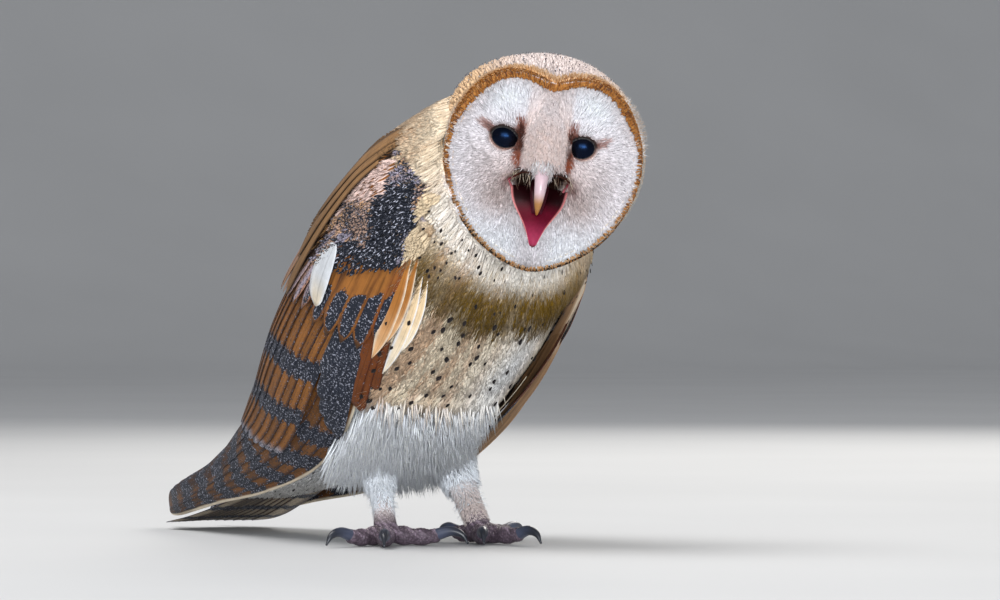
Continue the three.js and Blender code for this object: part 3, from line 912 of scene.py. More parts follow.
def face_colour(x, z):
    side = np.abs(x)
    edge = smooth(disc_share(x, z), 0.68, 0.95)
    corner = np.exp(-(((side - 12) / 2.6) ** 2) - ((z + 6.5) / 3.2) ** 2)
    fold = np.exp(-(((side - 9.6) / 1.4) ** 2)) * smooth(z, -8, -3) * fading(z, 2, 5)
    smudge = np.exp(-(((side - mix(9.6, 10.4, smooth(z, 1, 16))) / 2.3) ** 2))
    smudge = smudge * smooth(z, -3.5, 3.5) * fading(z, 10.5, 17.5)
    ex, ez = np.where(x < 0, 22.4, 20.6), np.where(x < 0, 11.3, 10.2)
    outer = np.exp(-(((side - ex) / 2.3) ** 2) - ((z - ez - 0.35 * (side - ex)) / 1.7) ** 2)
    beside = eye_distance(x, z)
    middle = np.where(x < 0, -EYE_AT["right"][0], EYE_AT["left"][0])
    inner = smooth(middle - side, 1.5, 4.5) * fading(beside, 1.2, 2.6)
    ridge = smooth(9.6 - side, 0, 1.6) * smooth(z, -5, -2) * (1 - 0.6 * smooth(z, 12, 28))
    ridge = ridge * mix(1, 0.7, smooth(side, 3, 7) * smooth(z, 10, 18))
    bare = blend(C.ridge, C.lilac, 0.35 * fading(z, -3, 4))
    return layered(
        C.disc,
        (C.disc_blush, 0.6 * bump(side, z, 10, -5, 15)),
        (C.white * 1.06, 0.8 * bump(side, z, 16.5, 23, 8)),
        (C.white, 0.7 * smooth(-z, 14, 30) * smooth(side, 2, 10)),
        # painted shade in the face's bowl beside the mouth
        (C.disc_blush * 0.72, 0.55 * bump(side, z, 15.5, -13, 5.5)),
        # painted shade at the disc's upper rim
        (C.disc_blush * 0.75, 0.45 * edge * smooth(z, 2, 18)),
        (C.rust * [1.6, 1, 1.2], 0.75 * corner),
        (C.rust * 1.7, 0.75 * fold),
        (C.gold_deep * [0.95, 0.62, 0.8], 0.9 * smooth(smudge, 0.08, 0.5)),
        (C.rust * 0.5, 0.95 * smooth(smudge, 0.5, 0.92) * smooth(z, 2, 8)),
        (C.gold_deep * [1.1, 0.75, 1.0], 0.7 * smooth(outer, 0.05, 0.6)),
        (C.rust, 0.55 * smooth(outer, 0.45, 1.0)),
        (C.rust * 0.6, 0.9 * inner),
        (C.rust, 0.5 * fading(beside, 0.6, 1.5)),
        (bare, ridge * (1 - smudge * smooth(side, 7.6, 9))),
    )


def from_corner(x, z):
    """How far a place is across and up from the nearer eye's inner corner."""
    return x - np.sign(x + 1e-9) * INNER_CORNER[0], z - INNER_CORNER[1]


def disc_way(x, z):
    """Disc feathers radiate from each eye's inner corner, and part round the eye itself."""
    dx, dz = from_corner(x, z)
    size = np.maximum(np.hypot(dx, dz), 1e-6)
    ox, oz = x - np.where(x < 0, EYE_AT["right"][0], EYE_AT["left"][0]), z - EYE_AT["right"][1]
    away = np.maximum(np.hypot(ox, oz), 1e-6)
    near = np.exp(-((np.maximum(eye_distance(x, z), 0) / 2.6) ** 2))
    wx, wz = mix(dx / size, ox / away, near), mix(dz / size, oz / away, near)
    whole = np.maximum(np.hypot(wx, wz), 1e-6)
    return wx / whole, wz / whole


def ridge_way(x, z):
    return 0.035 * x * smooth(-z, -14, 2), -np.ones_like(x)


DISC_FLOW = {**FACE_FLOW, "way": disc_way}
RIDGE_FLOW = {**FACE_FLOW, "way": ridge_way}


def lidded(x, z, rise):
    """The face's surface, lifted over the eyeballs where their lids cover them."""
    local = face_local(x, z, rise)
    for side in EYE_AT:
        cx, cy, cz = eye_centre(side)
        radius = EYE["radius"] + LID_COVER + rise
        square = radius**2 - (x - cx) ** 2 - (z - cz) ** 2
        ball = cy - np.sqrt(np.maximum(square, 0))
        local[..., 1] = np.where(square > 1, np.minimum(local[..., 1], ball), local[..., 1])
    return in_head(local)


def dress_face():
    def on_disc(x, z):
        above = smooth(z - 0.2 * np.abs(x), 4.5, 8)
        clear = (eye_distance(x, z) > mix(0.8, 0.45, above)) & ~inside(MOUTH, x, z)
        clear &= (np.abs(x) > 11) | (z > -0.6 - 0.12 * np.abs(x)) | (z < -8)
        return (disc_share(x, z) < mix(0.985, 0.95, smooth(z, 8, 20))) & clear & ~on_ridge(x, z)

    x, z = scatter(COUNT["disc"], (-40, 40), (-43, 34), on_disc)
    length = mix(1.6, 5.4, smooth(np.hypot(*from_corner(x, z)), 2, 16)) * between(0.7, 1.15, x)
    length *= mix(0.35, 1, smooth(eye_distance(x, z), 0.4, 4))
    length = np.minimum(length, 0.7 + (1 - disc_share(x, z)) * 38)
    colour = varied(face_colour(x, z), 0.045)
    disc = tufts(lidded, DISC_FLOW, x, z, length, between(0.32, 0.6, x), colour,
                 swing=8, lift=(-0.9, 0.25), curl=0.05, thick=0.09, tip_colour=colour * 1.04)

    x, z = scatter(COUNT["ridge"], (-9, 9), (-3, 33), on_ridge)
    streak = wobble(x, z, 5, scale=1.4)
    colour = varied(blend(face_colour(x, z) * 0.94, C.disc, 0.25 * streak), 0.06)
    ridge = tufts(face, RIDGE_FLOW, x, z, between(1.6, 3.2, x), between(0.26, 0.44, x),
                  colour, swing=15, lift=(-0.9, 0.55), curl=0.1, thick=0.09)
    coat_piece("coat_face", FACE_DOWN, "white_plumage", disc, ridge)
    # Painted shade: the skin inside the top of the mouth's cut is darkened, down to 16 mm deep.
    x, z = over_grid(np.arange(-11, 11.1, 0.5), np.arange(-7, -1.9, 0.5))
    for depth in (0, 4, 8, 12, 16):
        SKIN_MARKS.append((face(x, z, np.full(len(x), -depth)), rows_of(C.rust * 0.3, len(x))))
    dress_bristles()


def dress_bristles():
    """The fringe of bristles over the bill's base, and long whiskers over the mouth's corners."""
    flow = {**FACE_FLOW, "way": back_along_second}
    n = COUNT["fringe"]
    x = rng.uniform(-10, 10, n)
    x = np.where((np.abs(x) > 3.6) & (rng.random(n) < 0.93), 0.36 * x, x)
    z = 0.4 - 0.035 * x**2 + rng.normal(0, 1.2, n)
    out = np.clip(x / 9, -1, 1)
    way = out * 1.1 + rng.normal(0, 0.12, n)
    length = rng.uniform(2.2, 4.2, n) * mix(1.0, 0.55, smooth(np.abs(x), 3, 6))
    pick = rng.random(n)
    colour = blend(C.ridge * 0.85, C.white * 0.9, pick)
    colour = varied(blend(colour, C.rust, 0.7 * (pick < 0.16)), 0.08)
    fringe = tufts(smooth_front, flow, x, z, length, 0.26, colour, swing=14, lift=(0.0, 2.2),
                   curl=0.16, thick=0.1, way=way)
    n = COUNT["whiskers"]
    sx = np.where(rng.random(n) < 0.5, -1.0, 1.0)
    x = sx * rng.uniform(4, 12, n)
    z = -3.6 + rng.normal(0, 1.2, n) - 0.2 * (np.abs(x) - 6)
    colour = varied(blend(C.cream, C.rust, rng.random(n)), 0.12)
    whiskers = tufts(smooth_front, flow, x, z, rng.uniform(3.5, 8, n), 0.16, colour, swing=16,
                     lift=(0.3, 2.0), curl=0.22, thick=0.08, way=sx * rng.uniform(-0.1, 0.7, n))
    coat_piece("coat_bristles", FACE_DOWN, "cream_plumage", fringe, whiskers, mark_skin=False)


def smooth_front(x, z, rise):
    """The face's surface as the ridge's end would carry on over the bill, without its step."""
    held = np.maximum(z, -3.0)
    base = face_local(x, held, rise)
    base[..., 2] = z
    base[..., 1] += 0.32 * (held - z)
    return in_head(base)


# ---- the ruff and the rest of the head ----
RIM_STEP = {"angle": 5, "off": 0.25, "last": 14}


def rim_shares():
    """The head's share at each distance outward from the face's edge, by angle."""
    offs = np.arange(0, RIM_STEP["last"] + 0.01, RIM_STEP["off"])
    shares = np.linspace(1, 1.6, 121)
    a, s = np.meshgrid(np.arange(0, 361, RIM_STEP["angle"]), shares, indexing="ij")
    steps = np.linalg.norm(np.diff(head_local(a, s, 0.0 * a), axis=1), axis=-1)
    lengths = np.column_stack([np.zeros(len(a)), np.cumsum(steps, axis=1)])
    return np.array([np.interp(offs, row, shares) for row in lengths])


RIM_SHARES = rim_shares()


def rim(angle, off, rise):
    """The head's surface beside the face: off millimetres outward from the face's edge."""
    a = (angle % 360) / RIM_STEP["angle"]
    o = np.clip(off, 0, RIM_STEP["last"] - 0.01) / RIM_STEP["off"]
    i, j = np.floor(a).astype(int), np.floor(o).astype(int)
    near = mix(RIM_SHARES[i, j], RIM_SHARES[i, j + 1], o - j)
    far = mix(RIM_SHARES[i + 1, j], RIM_SHARES[i + 1, j + 1], o - j)
    share = np.where(off > 0, mix(near, far, a - i), 1 + off / disc_radius(angle))
    return head(angle, share, rise)


def signed(angle):
    return (angle + 180) % 360 - 180


RUFF_WIDTH = np.array([(-180, 2.6), (-150, 2.6), (-110, 2.3), (-80, 2.8), (-62, 5.6), (-42, 7.4),
                       (-20, 5.2), (-6, 3.6), (0, 1.6), (6, 3.0), (25, 5.2), (50, 5.2), (66, 2.8),
                       (80, 1.7), (110, 1.6), (150, 2.3), (180, 2.6)])
RIM_FLOW = {
    "scale": (2, 1),
    "way": along_second,
    "place": lambda a, off: (round_map(a), 0.5 + off / 60),
}


def ruff_width(angle):
    return np.interp(signed(angle), *RUFF_WIDTH.T)


def ruff_row(off):
    """One row of short stiff vanes that point at the face, off millimetres out from its edge."""
    angle = np.arange(0, 360, 0.6)
    angle = angle + between(-0.3, 0.3, angle)
    width = ruff_width(angle)
    angle = angle[off < width - 0.2 + rng.normal(0, 0.2, len(angle))]
    n, around, width = len(angle), np.abs(signed(angle)), ruff_width(angle)
    low = smooth(around, 95, 140)
    high = 1 - low
    within = 1.2 * fading(around, 45, 80)
    outside = low * (off > 0.4)
    root = off + 1.35 - within + rng.normal(0, 0.2, n)
    root = np.where((root > -0.3) & (root < 0.3), 0.3, root)
    pick = rng.random(n)
    gold = blend(C.gold_deep, C.gold, 0.15 + 0.85 * rng.random(n))
    khaki = blend(C.gold, C.cream, 0.5 * rng.random(n))
    dark = (pick < mix(0.12, 0.97, smooth(off, 0.4, 0.7))) * low
    base = layered(
        gold,
        (C.crown_buff, 0.35 * smooth(off / width, 0.85, 1.05) * high),
        (C.rust, 0.7 * (pick < 0.22) * high),
        (C.crown_buff, 0.8 * (pick > 0.86) * smooth(off, 1, 3) * high),
        (C.ruff_white, 0.7 * (pick > 0.8) * (smooth(around, 60, 80) * high)),
        (khaki, low * fading(off, 0.3, 0.7)),
        (C.ruff_dark * 0.7, 0.96 * dark),
    )
    inward = {**RIM_FLOW, "way": back_along_second}
    return tufts(rim, inward, angle, root, rng.uniform(1.3, 2.0, n),
                 rng.uniform(0.6, 0.9, n), varied(base, 0.08), shape=LEAF, swing=6,
                 lift=(0.5 + 0.5 * outside, 1.4 + 0.4 * outside),
                 thick=0.16, tip_colour=varied(base * 0.92, 0.08))


def dress_ruff():
    rows = [ruff_row(off) for off in np.arange(-0.1, 7.2, 0.66)]
    n = COUNT["ruff"]
    angle = rng.uniform(0, 360, n)
    around, left = np.abs(signed(angle)), signed(angle) > 0
    spread = np.where(left, 2.5, mix(3, 8, smooth(around, 50, 90)))
    off = ruff_width(angle) - 0.4 + spread * rng.random(n) ** 1.6
    beyond = off - ruff_width(angle)
    pick = rng.random(n)
    base = layered(
        C.crown_buff,
        (C.ruff_white, smooth(around, 55, 85)),
        (C.gold, 0.85 * (pick > 0.35) * fading(beyond, -0.2, 2.2) * fading(around, 60, 90)),
        (C.gold_deep, 0.8 * (pick > 0.8) * fading(beyond, 0, 2.8) * fading(around, 60, 80)),
        (crown_colour(angle, 1.1 + 0 * angle), 0.5 * smooth(beyond, 1, 5)),
    )
    length = rng.uniform(2.5, 5.5, n) * mix(0.8, 1.3, smooth(around, 60, 100))
    outer = tufts(rim, RIM_FLOW, angle, off, length, rng.uniform(0.35, 0.75, n), varied(base, 0.06),
                  swing=10, lift=(-0.5, 0.5), curl=0.08, thick=0.12)
    # Loose tufts that stand out at the upper left side of the head.
    n = COUNT["loose"]
    angle = rng.normal(60, 7, n)
    loose = tufts(rim, RIM_FLOW, angle, rng.uniform(1.5, 5, n), rng.uniform(3, 6, n),
                  rng.uniform(0.35, 0.6, n),
                  varied(blend(C.white, C.crown_buff, 0.8 * rng.random(n)), 0.05), swing=20,
                  lift=(-0.6, 2.6), curl=0.14, thick=0.1)
    coat_piece("coat_ruff", DOWN, "buff_plumage", *rows, outer, loose, mark_skin=False)
    angle, off = over_grid(np.arange(-75, 70, 1.0), np.arange(-1, 7, 0.5))
    band = off < ruff_width(angle)
    places = rim(angle[band], off[band], np.zeros(band.sum()))
    SKIN_MARKS.append((places, rows_of(C.gold_deep, len(places))))


def crown_colour(angle, share):
    """The head behind the ruff: pale pinkish above, buff at its sides, cream below."""
    turn = signed(angle)
    around = np.abs(turn)
    side = smooth(around, 14, 55) * np.where(turn < 0, 1.0, 0.6)
    back = smooth(share, 1.4, 1.8) * fading(around, 90, 120)
    return layered(
        C.crown,
        (C.crown_buff, np.clip(side * fading(around, 95, 135) + 0.1, 0, 1)),
        (C.cream, smooth(around, 85, 125)),
        (blend(C.crown_buff, C.lilac, 0.45), back * 0.7),
    )


def fullness(angle, share):
    """How much further the feathers stand off the head at its upper right side."""
    return 3.4 * np.exp(-(((signed(angle) + 52) / 26) ** 2)) * smooth(share, 1.1, 1.35)


def dress_crown():
    def thin(a, s):
        return rng.random(len(a)) < np.sin(np.pi * np.clip((s - 1) * 0.92 + 0.06, 0, 1)) + 0.12

    angle, share = scatter(COUNT["crown"], (0, 360), (1.04, 1.93), thin)
    colour = varied(crown_colour(angle, share), 0.03)
    length = mix(4.0, 8.5, smooth(share, 1.05, 1.5)) * between(0.8, 1.2, angle)
    full = fullness(angle, share)
    blades = tufts(head, HEAD_FLOW, angle, share, length, between(1.4, 2.8, angle), colour,
                   shape=LEAF, swing=7, lift=(-2.1 + 0.5 * full, -0.9 + full), curl=0.05, thick=0.1,
                   arch=0.12, tip_colour=colour * 1.02)
    a, s = scatter(COUNT["crown_wisps"], (0, 360), (1.05, 1.8))
    wisps = tufts(head, HEAD_FLOW, a, s, between(4, 7, a), between(0.22, 0.4, a),
                  varied(crown_colour(a, s) * 1.02, 0.05), swing=9, lift=(-1.4, -0.4), curl=0.1,
                  thick=0.07)
    coat_piece("coat_crown", DOWN, "buff_plumage", blades, wisps)
    dress_specks()


def dress_specks():
    """Dark specks over the crown, sparser and larger down the neck's side, some with a pale tip."""

    def sparse(a, s):
        return rng.random(len(a)) < mix(0.75, 0.22, smooth(np.abs(a), 30, 70))

    angle, share = scatter(COUNT["specks"], (-95, 70), (1.1, 1.72), sparse)
    n = len(angle)
    size = mix(0.72, 1.4, smooth(np.abs(angle), 40, 80)) * rng.uniform(0.7, 1.3, n)
    dark = varied(rows_of(C.speck, n), 0.2)
    full = fullness(angle, share)
    dots = tufts(head, HEAD_FLOW, angle, share, 0.8 * size, 0.62 * size, dark, shape=LEAF, swing=20,
                 lift=(full - 0.75, full - 0.45), thick=0.1)
    pale = rng.random(n) < 0.4
    lights = tufts(head, HEAD_FLOW, angle[pale], share[pale] + 0.012, 0.7 * size[pale],
                   0.42 * size[pale], varied(rows_of(C.white, pale.sum()), 0.05), shape=LEAF,
                   lift=(full[pale] - 0.75, full[pale] - 0.45), thick=0.1)
    coat_piece("coat_crown_specks", DOWN, "slate_plumage", dots, lights, mark_skin=False)


# ---- neck, breast, belly and back ----
def body_colour(u, angle):
    """The trunk: buff neck, a dark gold band of painted head shadow across the breast, cream below
    it, a white belly.
    """
    side = np.abs(angle)
    streak, fine = wobble(u * 14, angle * 0.45, 2), wobble(u * 30, angle * 1.1, 12)
    tan = 0.75 * smooth(streak, 0.4, 0.75) + 0.35 * smooth(fine, 0.5, 0.9)
    tan = tan * mix(0.35, 1.0, smooth(-angle, -8, 22))
    pale = 0.75 * bump(u * 100, angle, 29, 12, 12)
    pale = pale + 0.5 * smooth(side, 50, 64) * smooth(u, 0.3, 0.4)
    gold = blend(C.buff * [0.86, 0.86, 0.95], C.amber_pale, 0.5 * wobble(u * 40, angle * 0.15, 6))
    # Painted shadow of the head: a dark gold band across the breast, lighter at its upper edge.
    edge = 0.022 * (wobble(u * 0, angle * 0.3, 3) - 0.5)
    low = 0.226 - 0.04 * smooth(-angle, 12, 55) - 0.04 * smooth(angle, 34, 60) + edge
    band = smooth(u, 0.105 + edge, 0.165 + edge) * fading(u, low - 0.012, low + 0.012)
    band = band * (0.8 + 0.2 * smooth(fine, 0.3, 0.6))
    olive = C.olive * mix(2.1, 1.15, smooth(u, 0.13, 0.2))[..., None]
    flank = 0.035 * wobble(u * 0, angle * 0.2, 8)
    local, share = to_head(hull(u, angle, np.zeros_like(u)))
    near = fading(share, 1.06, 1.34) * fading(local[..., 1], 4, 18) * fading(u, 0.13, 0.17)
    mantle = blend(C.lilac, C.amber, 0.65 * wobble(u * 50, angle * 0.3, 4))
    return layered(
        C.cream,
        (C.tan, np.clip(tan, 0, 0.9)),
        (C.white, np.clip(pale, 0, 1)),
        (gold, fading(u, 0.14, 0.2) * (0.25 + 0.35 * smooth(side, 50, 100))),
        (olive, band * fading(side, 58, 80)),
        (C.white, smooth(u, 0.33 + flank, 0.38 + flank)),
        (C.cream * 1.08, 0.7 * near),
        (C.white, 0.5 * near * smooth(local[..., 2], 0, -25)),
        (mantle, smooth(side, 118, 150) * smooth(u, 0.07, 0.14)),
    )


def on_front(u, angle):
    edge = through(HULL["wing_front"], u) + 9 - 15 * smooth(u, 0.14, 0.23)
    edge = edge - 5 * smooth(u, 0.26, 0.31) * fading(u, 0.42, 0.46) * (angle < 0)
    left = mix(90, 51 - 6 * smooth(u, 0.3, 0.4), smooth(u, 0.15, 0.22))
    edge = np.where(angle > 0, np.minimum(edge, left), edge)
    return (np.abs(angle) < edge) | (u < 0.14)


def soft_coat(u, angle, lengths, widths, lift, extra=lambda u, a: 0):
    """Soft feathers on the trunk, raised further where extra says so."""
    colour, raised = varied(body_colour(u, angle), 0.04), extra(u, angle)
    length = between(*lengths, u)
    coat = tufts(body, HULL_FLOW, u, angle, length, between(*widths, u), colour, shape=LEAF,
                 swing=6, lift=(lift[0] + 0.5 * raised, lift[1] + raised), curl=0.04, thick=0.13,
                 arch=0.12, tip_colour=colour * 1.04)
    return beside_head(coat)


def wisp_coat(u, angle, lengths, lift, extra=lambda u, a: 0):
    """Thin loose tufts among them."""
    colour, raised = varied(body_colour(u, angle), 0.04), extra(u, angle)
    coat = tufts(body, HULL_FLOW, u, angle, between(*lengths, u), between(0.25, 0.5, u), colour,
                 swing=10, lift=(lift[0] + raised, lift[1] + raised), curl=0.12, thick=0.08,
                 tip_colour=colour * 1.03)
    return beside_head(coat)


def dress_body():
    clear = lambda u, a: (u < 0.1) | (np.abs(a) < 66)
    high = lambda u, a: 2.4 * bump(a, 0, -122, 0, 26) * fading(u, 0.06, 0.1)
    neck = soft_coat(*scatter(COUNT["neck"], (0.02, 0.15), (-180, 180), clear), (6, 9.5),
                     (1.6, 3.1), (-2.8, -0.8), high)
    hairs = wisp_coat(*scatter(COUNT["neck_wisps"], (0.03, 0.15), (-180, 180), clear), (5.5, 9.5),
                      (-1.7, -0.3), high)
    coat_piece("coat_neck", DOWN, "buff_plumage", neck, hairs)
    breast = soft_coat(*scatter(COUNT["breast"], (0.13, 0.4), (-90, 90), on_front), (7, 11.5),
                       (1.1, 2.4), (-2.6, -0.9))
    coat_piece("coat_breast", DOWN, "cream_plumage", breast)
    belly = soft_coat(*scatter(COUNT["belly"], (0.37, 0.45), (-60, 60), on_front), (9, 14),
                      (1.1, 2.2), (-2.6, -0.4))
    hairs = wisp_coat(*scatter(COUNT["breast_wisps"], (0.13, 0.42), (-90, 90), on_front), (6.5, 11),
                      (-1.6, -0.1))
    fluff = wisp_coat(*scatter(COUNT["belly_wisps"], (0.34, 0.44), (-60, 60), on_front), (9, 16),
                      (-1.0, 0.6))
    coat_piece("coat_belly", DOWN, "white_plumage", belly, hairs, fluff)
    dress_spots()
    dress_mantle()


SPOT_LINES = [-60, -47, -34, -20, -8, 4, 17, 30, 42, 52]  # degrees round from the belly line


def dress_spots():
    """Dark drops: loose lines of them down the breast and flanks, small ones on the neck."""
    u, angle = np.meshgrid(np.arange(0.215, 0.39, 0.0155), SPOT_LINES, indexing="ij")
    u = u.ravel() + rng.normal(0, 0.0042, u.size)
    angle = angle.ravel() + rng.normal(0, 2.8, u.size)
    keep = (np.abs(angle) < through(HULL["wing_front"], u) - 2) & (rng.random(len(u)) < 0.66)
    u, angle = u[keep], angle[keep]
    size = between(0.75, 1.3, u)

    def few(u, angle):
        clear = (u < 0.13) | (np.abs(angle) < through(HULL["wing_front"], u) - 3)
        return (rng.random(len(u)) < 0.5) & clear

    upper = scatter(COUNT["neck_spots"], (0.05, 0.225), (-112, 76), few)
    u, angle = np.r_[u, upper[0]], np.r_[angle, upper[1]]
    size = np.r_[size, rng.uniform(0.42, 0.85, len(upper[0]))]
    n = len(u)
    dark = varied(rows_of(C.spot, n), 0.25)
    drops = tufts(body, HULL_FLOW, u, angle, 2.5 * size, 1.65 * size, dark, shape=SPOT, swing=16,
                  lift=(0.35, 0.75), thick=0.12)
    coat_piece("coat_spots", DOWN, "slate_plumage", beside_head(drops), mark_skin=False)


def dress_mantle():
    u, angle = scatter(COUNT["mantle"], (0.06, 0.46), (138, 222))
    angle = signed(angle)
    colour = varied(body_colour(u, angle), 0.1)
    blades = tufts(hull, HULL_FLOW, u, angle, between(8, 12, u), between(2.4, 4.4, u), colour,
                   shape=LEAF, swing=8, lift=(-2.6, 0.1), thick=0.18)
    coat_piece("coat_mantle", DOWN, "slate_plumage", beside_head(blades))


# ---- wings and tail: broad feathers, each a closed arched blade ----
def plumes(surface, roots, tips, width, rise, paint, outline, *, rows, columns, thick=0.45,
           arch=0.5, tilt=0.35, outer_share=0.7, bow=0.0):
    """Arrays of large feathers from root to tip coordinates.

    Each is a grid over its blade, s from -1 at its front edge to 1 at its back one. rise gives its
    height at the root and tip, outline its width along t, and paint(u, v, t, s, index) its colour
    and its mark: how much dark pepper covers that place.
    """
    roots, tips = np.asarray(roots, float), np.asarray(tips, float)
    n = len(roots)
    width = np.broadcast_to(width, n).astype(float)
    t = np.linspace(0, 1, rows)
    low, high = (np.broadcast_to(r, n)[:, None] for r in rise)
    u = mix(roots[:, :1], tips[:, :1], t)
    v = mix(roots[:, 1:], tips[:, 1:], t) + bow * (4 * t * (1 - t))
    height = mix(low, high, t**0.8)
    centre = surface(u, v, height)
    normal = unit(surface(u, v, height + 1) - centre)
    along = unit(np.gradient(centre, axis=1))
    side = unit(np.cross(normal, along))
    toward = surface(u, v + 0.01, height) - centre
    side *= np.sign((side * toward).sum(-1, keepdims=True))
    s = np.linspace(-1, 1, columns)
    half = (width[:, None] / 2) * outline(t)[None]
    reach = np.where(s < 0, outer_share, 2 - outer_share) * s
    offset = half[..., None] * reach
    lift = arch * (1 - s**2) - tilt * s
    fade = np.minimum(half / (width[:, None] / 2 + 1e-9), 1)[..., None]
    top = centre[:, :, None] + side[:, :, None] * offset[..., None]
    top = top + normal[:, :, None] * (lift * fade)[..., None]
    depth = thick * (1 - 0.55 * np.abs(s)) * (0.45 + 0.55 * (1 - t[:, None]))
    bottom = top - normal[:, :, None] * depth[..., None]
    index = np.arange(n)[:, None, None]
    vane = np.stack(np.broadcast_arrays(t[None, :, None], s[None, None], index), -1)
    flat, step = 0 * roots[:, 0], 0.01
    moved = surface(roots[:, 0], roots[:, 1] + step, flat) - surface(*roots.T, flat)
    stride = np.linalg.norm(moved, axis=-1) / step  # millimetres for each unit of v
    across = v[..., None] + offset / stride[:, None, None]
    colour, mark = paint(u[..., None] + 0 * across, across, vane[..., 0], vane[..., 1],
                         vane[..., 2])
    keys = ("top", "bottom", "colour", "mark", "vane", "root")
    return dict(zip(keys, (top, bottom, colour, mark, vane, centre[:, 0])))


def plume_faces(rows, columns):
    at = np.arange(rows * columns).reshape(rows, columns)
    a, b, c, d = at[:-1, :-1], at[:-1, 1:], at[1:, 1:], at[1:, :-1]
    upper = np.stack([a, b, c, d], -1).reshape(-1, 4)
    lower = np.stack([a, d, c, b], -1).reshape(-1, 4) + rows * columns
    rim = np.r_[at[0, :], at[1:, -1], at[-1, -2::-1], at[-2:0:-1, 0]]
    after = np.roll(rim, -1)
    skirt = np.stack([rim, rim + rows * columns, after + rows * columns, after], -1)
    return np.vstack([upper, lower, skirt])


# A feather's cell of the OFBake map: its margin, its span, and how far over its lower face lies.
CELL = {"edge": 0.03, "span": 0.94, "under": 0.48}


def plume_piece(name, material, groups):
    """One joined mesh of large feathers, with a patch of the OFBake map for each."""
    grid = int(np.ceil(np.sqrt(sum(len(g["top"]) for g in groups))))
    parts, count, index = [], 0, 0
    for g in groups:
        n, rows, columns = g["top"].shape[:3]
        size = rows * columns

        def both(upper, lower):
            """The upper and lower faces' values, feather by feather."""
            width = upper.size // (n * size)
            sheets = [sheet.reshape(n, size, width) for sheet in (upper, lower)]
            return np.concatenate(sheets, 1).reshape(-1, width)

        start = count + np.arange(n)[:, None, None] * size * 2
        cell = np.arange(index, index + n)
        corner = np.stack([cell % grid, cell // grid], -1) / grid
        place = np.stack([g["vane"][..., 1] / 2 + 0.5, g["vane"][..., 0]], -1).reshape(n, size, 2)
        place = corner[:, None] + (CELL["edge"] + CELL["span"] * place * [0.5, 1]) / grid
        parts.append({
            "points": both(g["top"], g["bottom"]),
            "faces": (plume_faces(rows, columns)[None] + start).reshape(-1, 4),
            "colours": both(g["colour"], g["colour"]),
            "vane": both(g["vane"], g["vane"]),
            "pepper": both(g["mark"], g["mark"]).ravel(),
            "map": both(place, place + [CELL["under"] / grid, 0]),
        })
        SKIN_MARKS.append((g["root"], g["colour"][:, 0, columns // 2]))
        count += n * size * 2
        index += n
    corners = parts[0]["points"][parts[0]["faces"][0][:3]]
    up = groups[0]["top"][0, 0, 0] - groups[0]["bottom"][0, 0, 0]
    if np.cross(*np.diff(corners, axis=0)) @ up < 0:
        for part in parts:
            part["faces"] = part["faces"][:, ::-1]
    return feather_piece(name, material, parts)


def plume_material(name):
    """Webbed feathers: their own colour, dark pepper with pale flecks by their mark, a fine web."""
    look = Look(name)
    coat, vane = look.attribute("coat", "Color"), look.attribute("vane")
    pepper, place = look.attribute("pepper", "Fac"), look.place()
    spread = look.maths("ADD", pepper, look.noise(place, 1150, 3, 0.62))
    dark = look.ramp(spread, (0.78, 0.0), (0.9, 1.0))
    flecks = look.ramp(look.noise(place, 1250, 1, 0.5), (0.59, 0.0), (0.67, 1.0))
    slate = look.mixed(look.noise(place, 240, 2), rgba(C.slate * 0.5), rgba(C.slate * 1.5))
    slate = look.mixed(look.maths("MULTIPLY", flecks, 0.6), slate, rgba(C.slate_pale * 1.5))
    broad = look.ramp(look.noise(place, 150, 3), (0.3, 0.84), (0.7, 1.12))
    streak = look.noise(vane, 6, 3, stretch=(1.2, 6, 3.7))
    base = look.times(coat, broad)
    base = look.times(base, look.ramp(streak, (0.3, 0.8), (0.7, 1.14)))
    colour = look.mixed(dark, base, slate)
    across = look.maths("ABSOLUTE", look.add("ShaderNodeSeparateXYZ", {0: vane}).outputs["Y"])
    shaft = look.ramp(across, (0.0, 0.5), (0.09, 1.0))
    colour = look.times(colour, shaft, 0.55)
    look.bumped(look.noise(vane, 4, 1, stretch=(60, 5, 1)), 0.35, 0.0003)
    return look.finished({
        "Base Color": colour,
        "Roughness": 0.6,
        "Specular IOR Level": 0.16,
        "Sheen Weight": 0.03,
    })


PLUME = plume_material("plume")


def round_end(past, least=0.004):
    """The width left where a share of a blade's rounded end is past."""
    return np.sqrt(np.maximum(1 - past, least))


# Blades' widths along their length.
ROUNDED = lambda t: smooth(t, -0.25, 0.3) * round_end(smooth(t, 0.72, 1.0) ** 2)
LONG = lambda t: smooth(t, -0.35, 0.25) * round_end(np.clip((t - 0.86) / 0.14, 0, 1) ** 2.2)
LANCE = lambda t: (0.15 + 0.85 * smooth(t, 0.0, 0.5)) * round_end(smooth(t, 0.62, 1.0) ** 2)
OVAL = lambda t: round_end(np.abs(2 * t - 1) ** 2.2, 0.01)

# Outlines of the wing's markings, as (u, v) corners, each with its colour and pepper; the gap along
# the fold's front edge is painted shadow.
DARK_PATCH = [(0.118, 0.44), (0.096, 0.3), (0.158, 0.045), (0.194, 0.05), (0.236, 0.19),
              (0.285, 0.31), (0.272, 0.385), (0.234, 0.41), (0.222, 0.34), (0.205, 0.285),
              (0.17, 0.35)]
SCAPULARS = [(0.215, 0.54), (0.12, 0.66), (0.08, 0.5), (0.118, 0.43), (0.165, 0.385)]
AMBER_MIDDLE = [(0.226, 0.42), (0.19, 0.42), (0.17, 0.35), (0.205, 0.285), (0.222, 0.34)]
WING_FRONT = [(0.05, 0.3), (0.1, 0.22), (0.16, 0.035), (0.3, 0.02), (0.3, -0.3), (0.05, -0.3)]
FOLD = [(0.04, 0.72), (0.13, 0.6), (0.21, 0.535), (0.3, 0.475), (0.37, 0.44), (0.4, 1.1),
        (0.04, 1.1)]
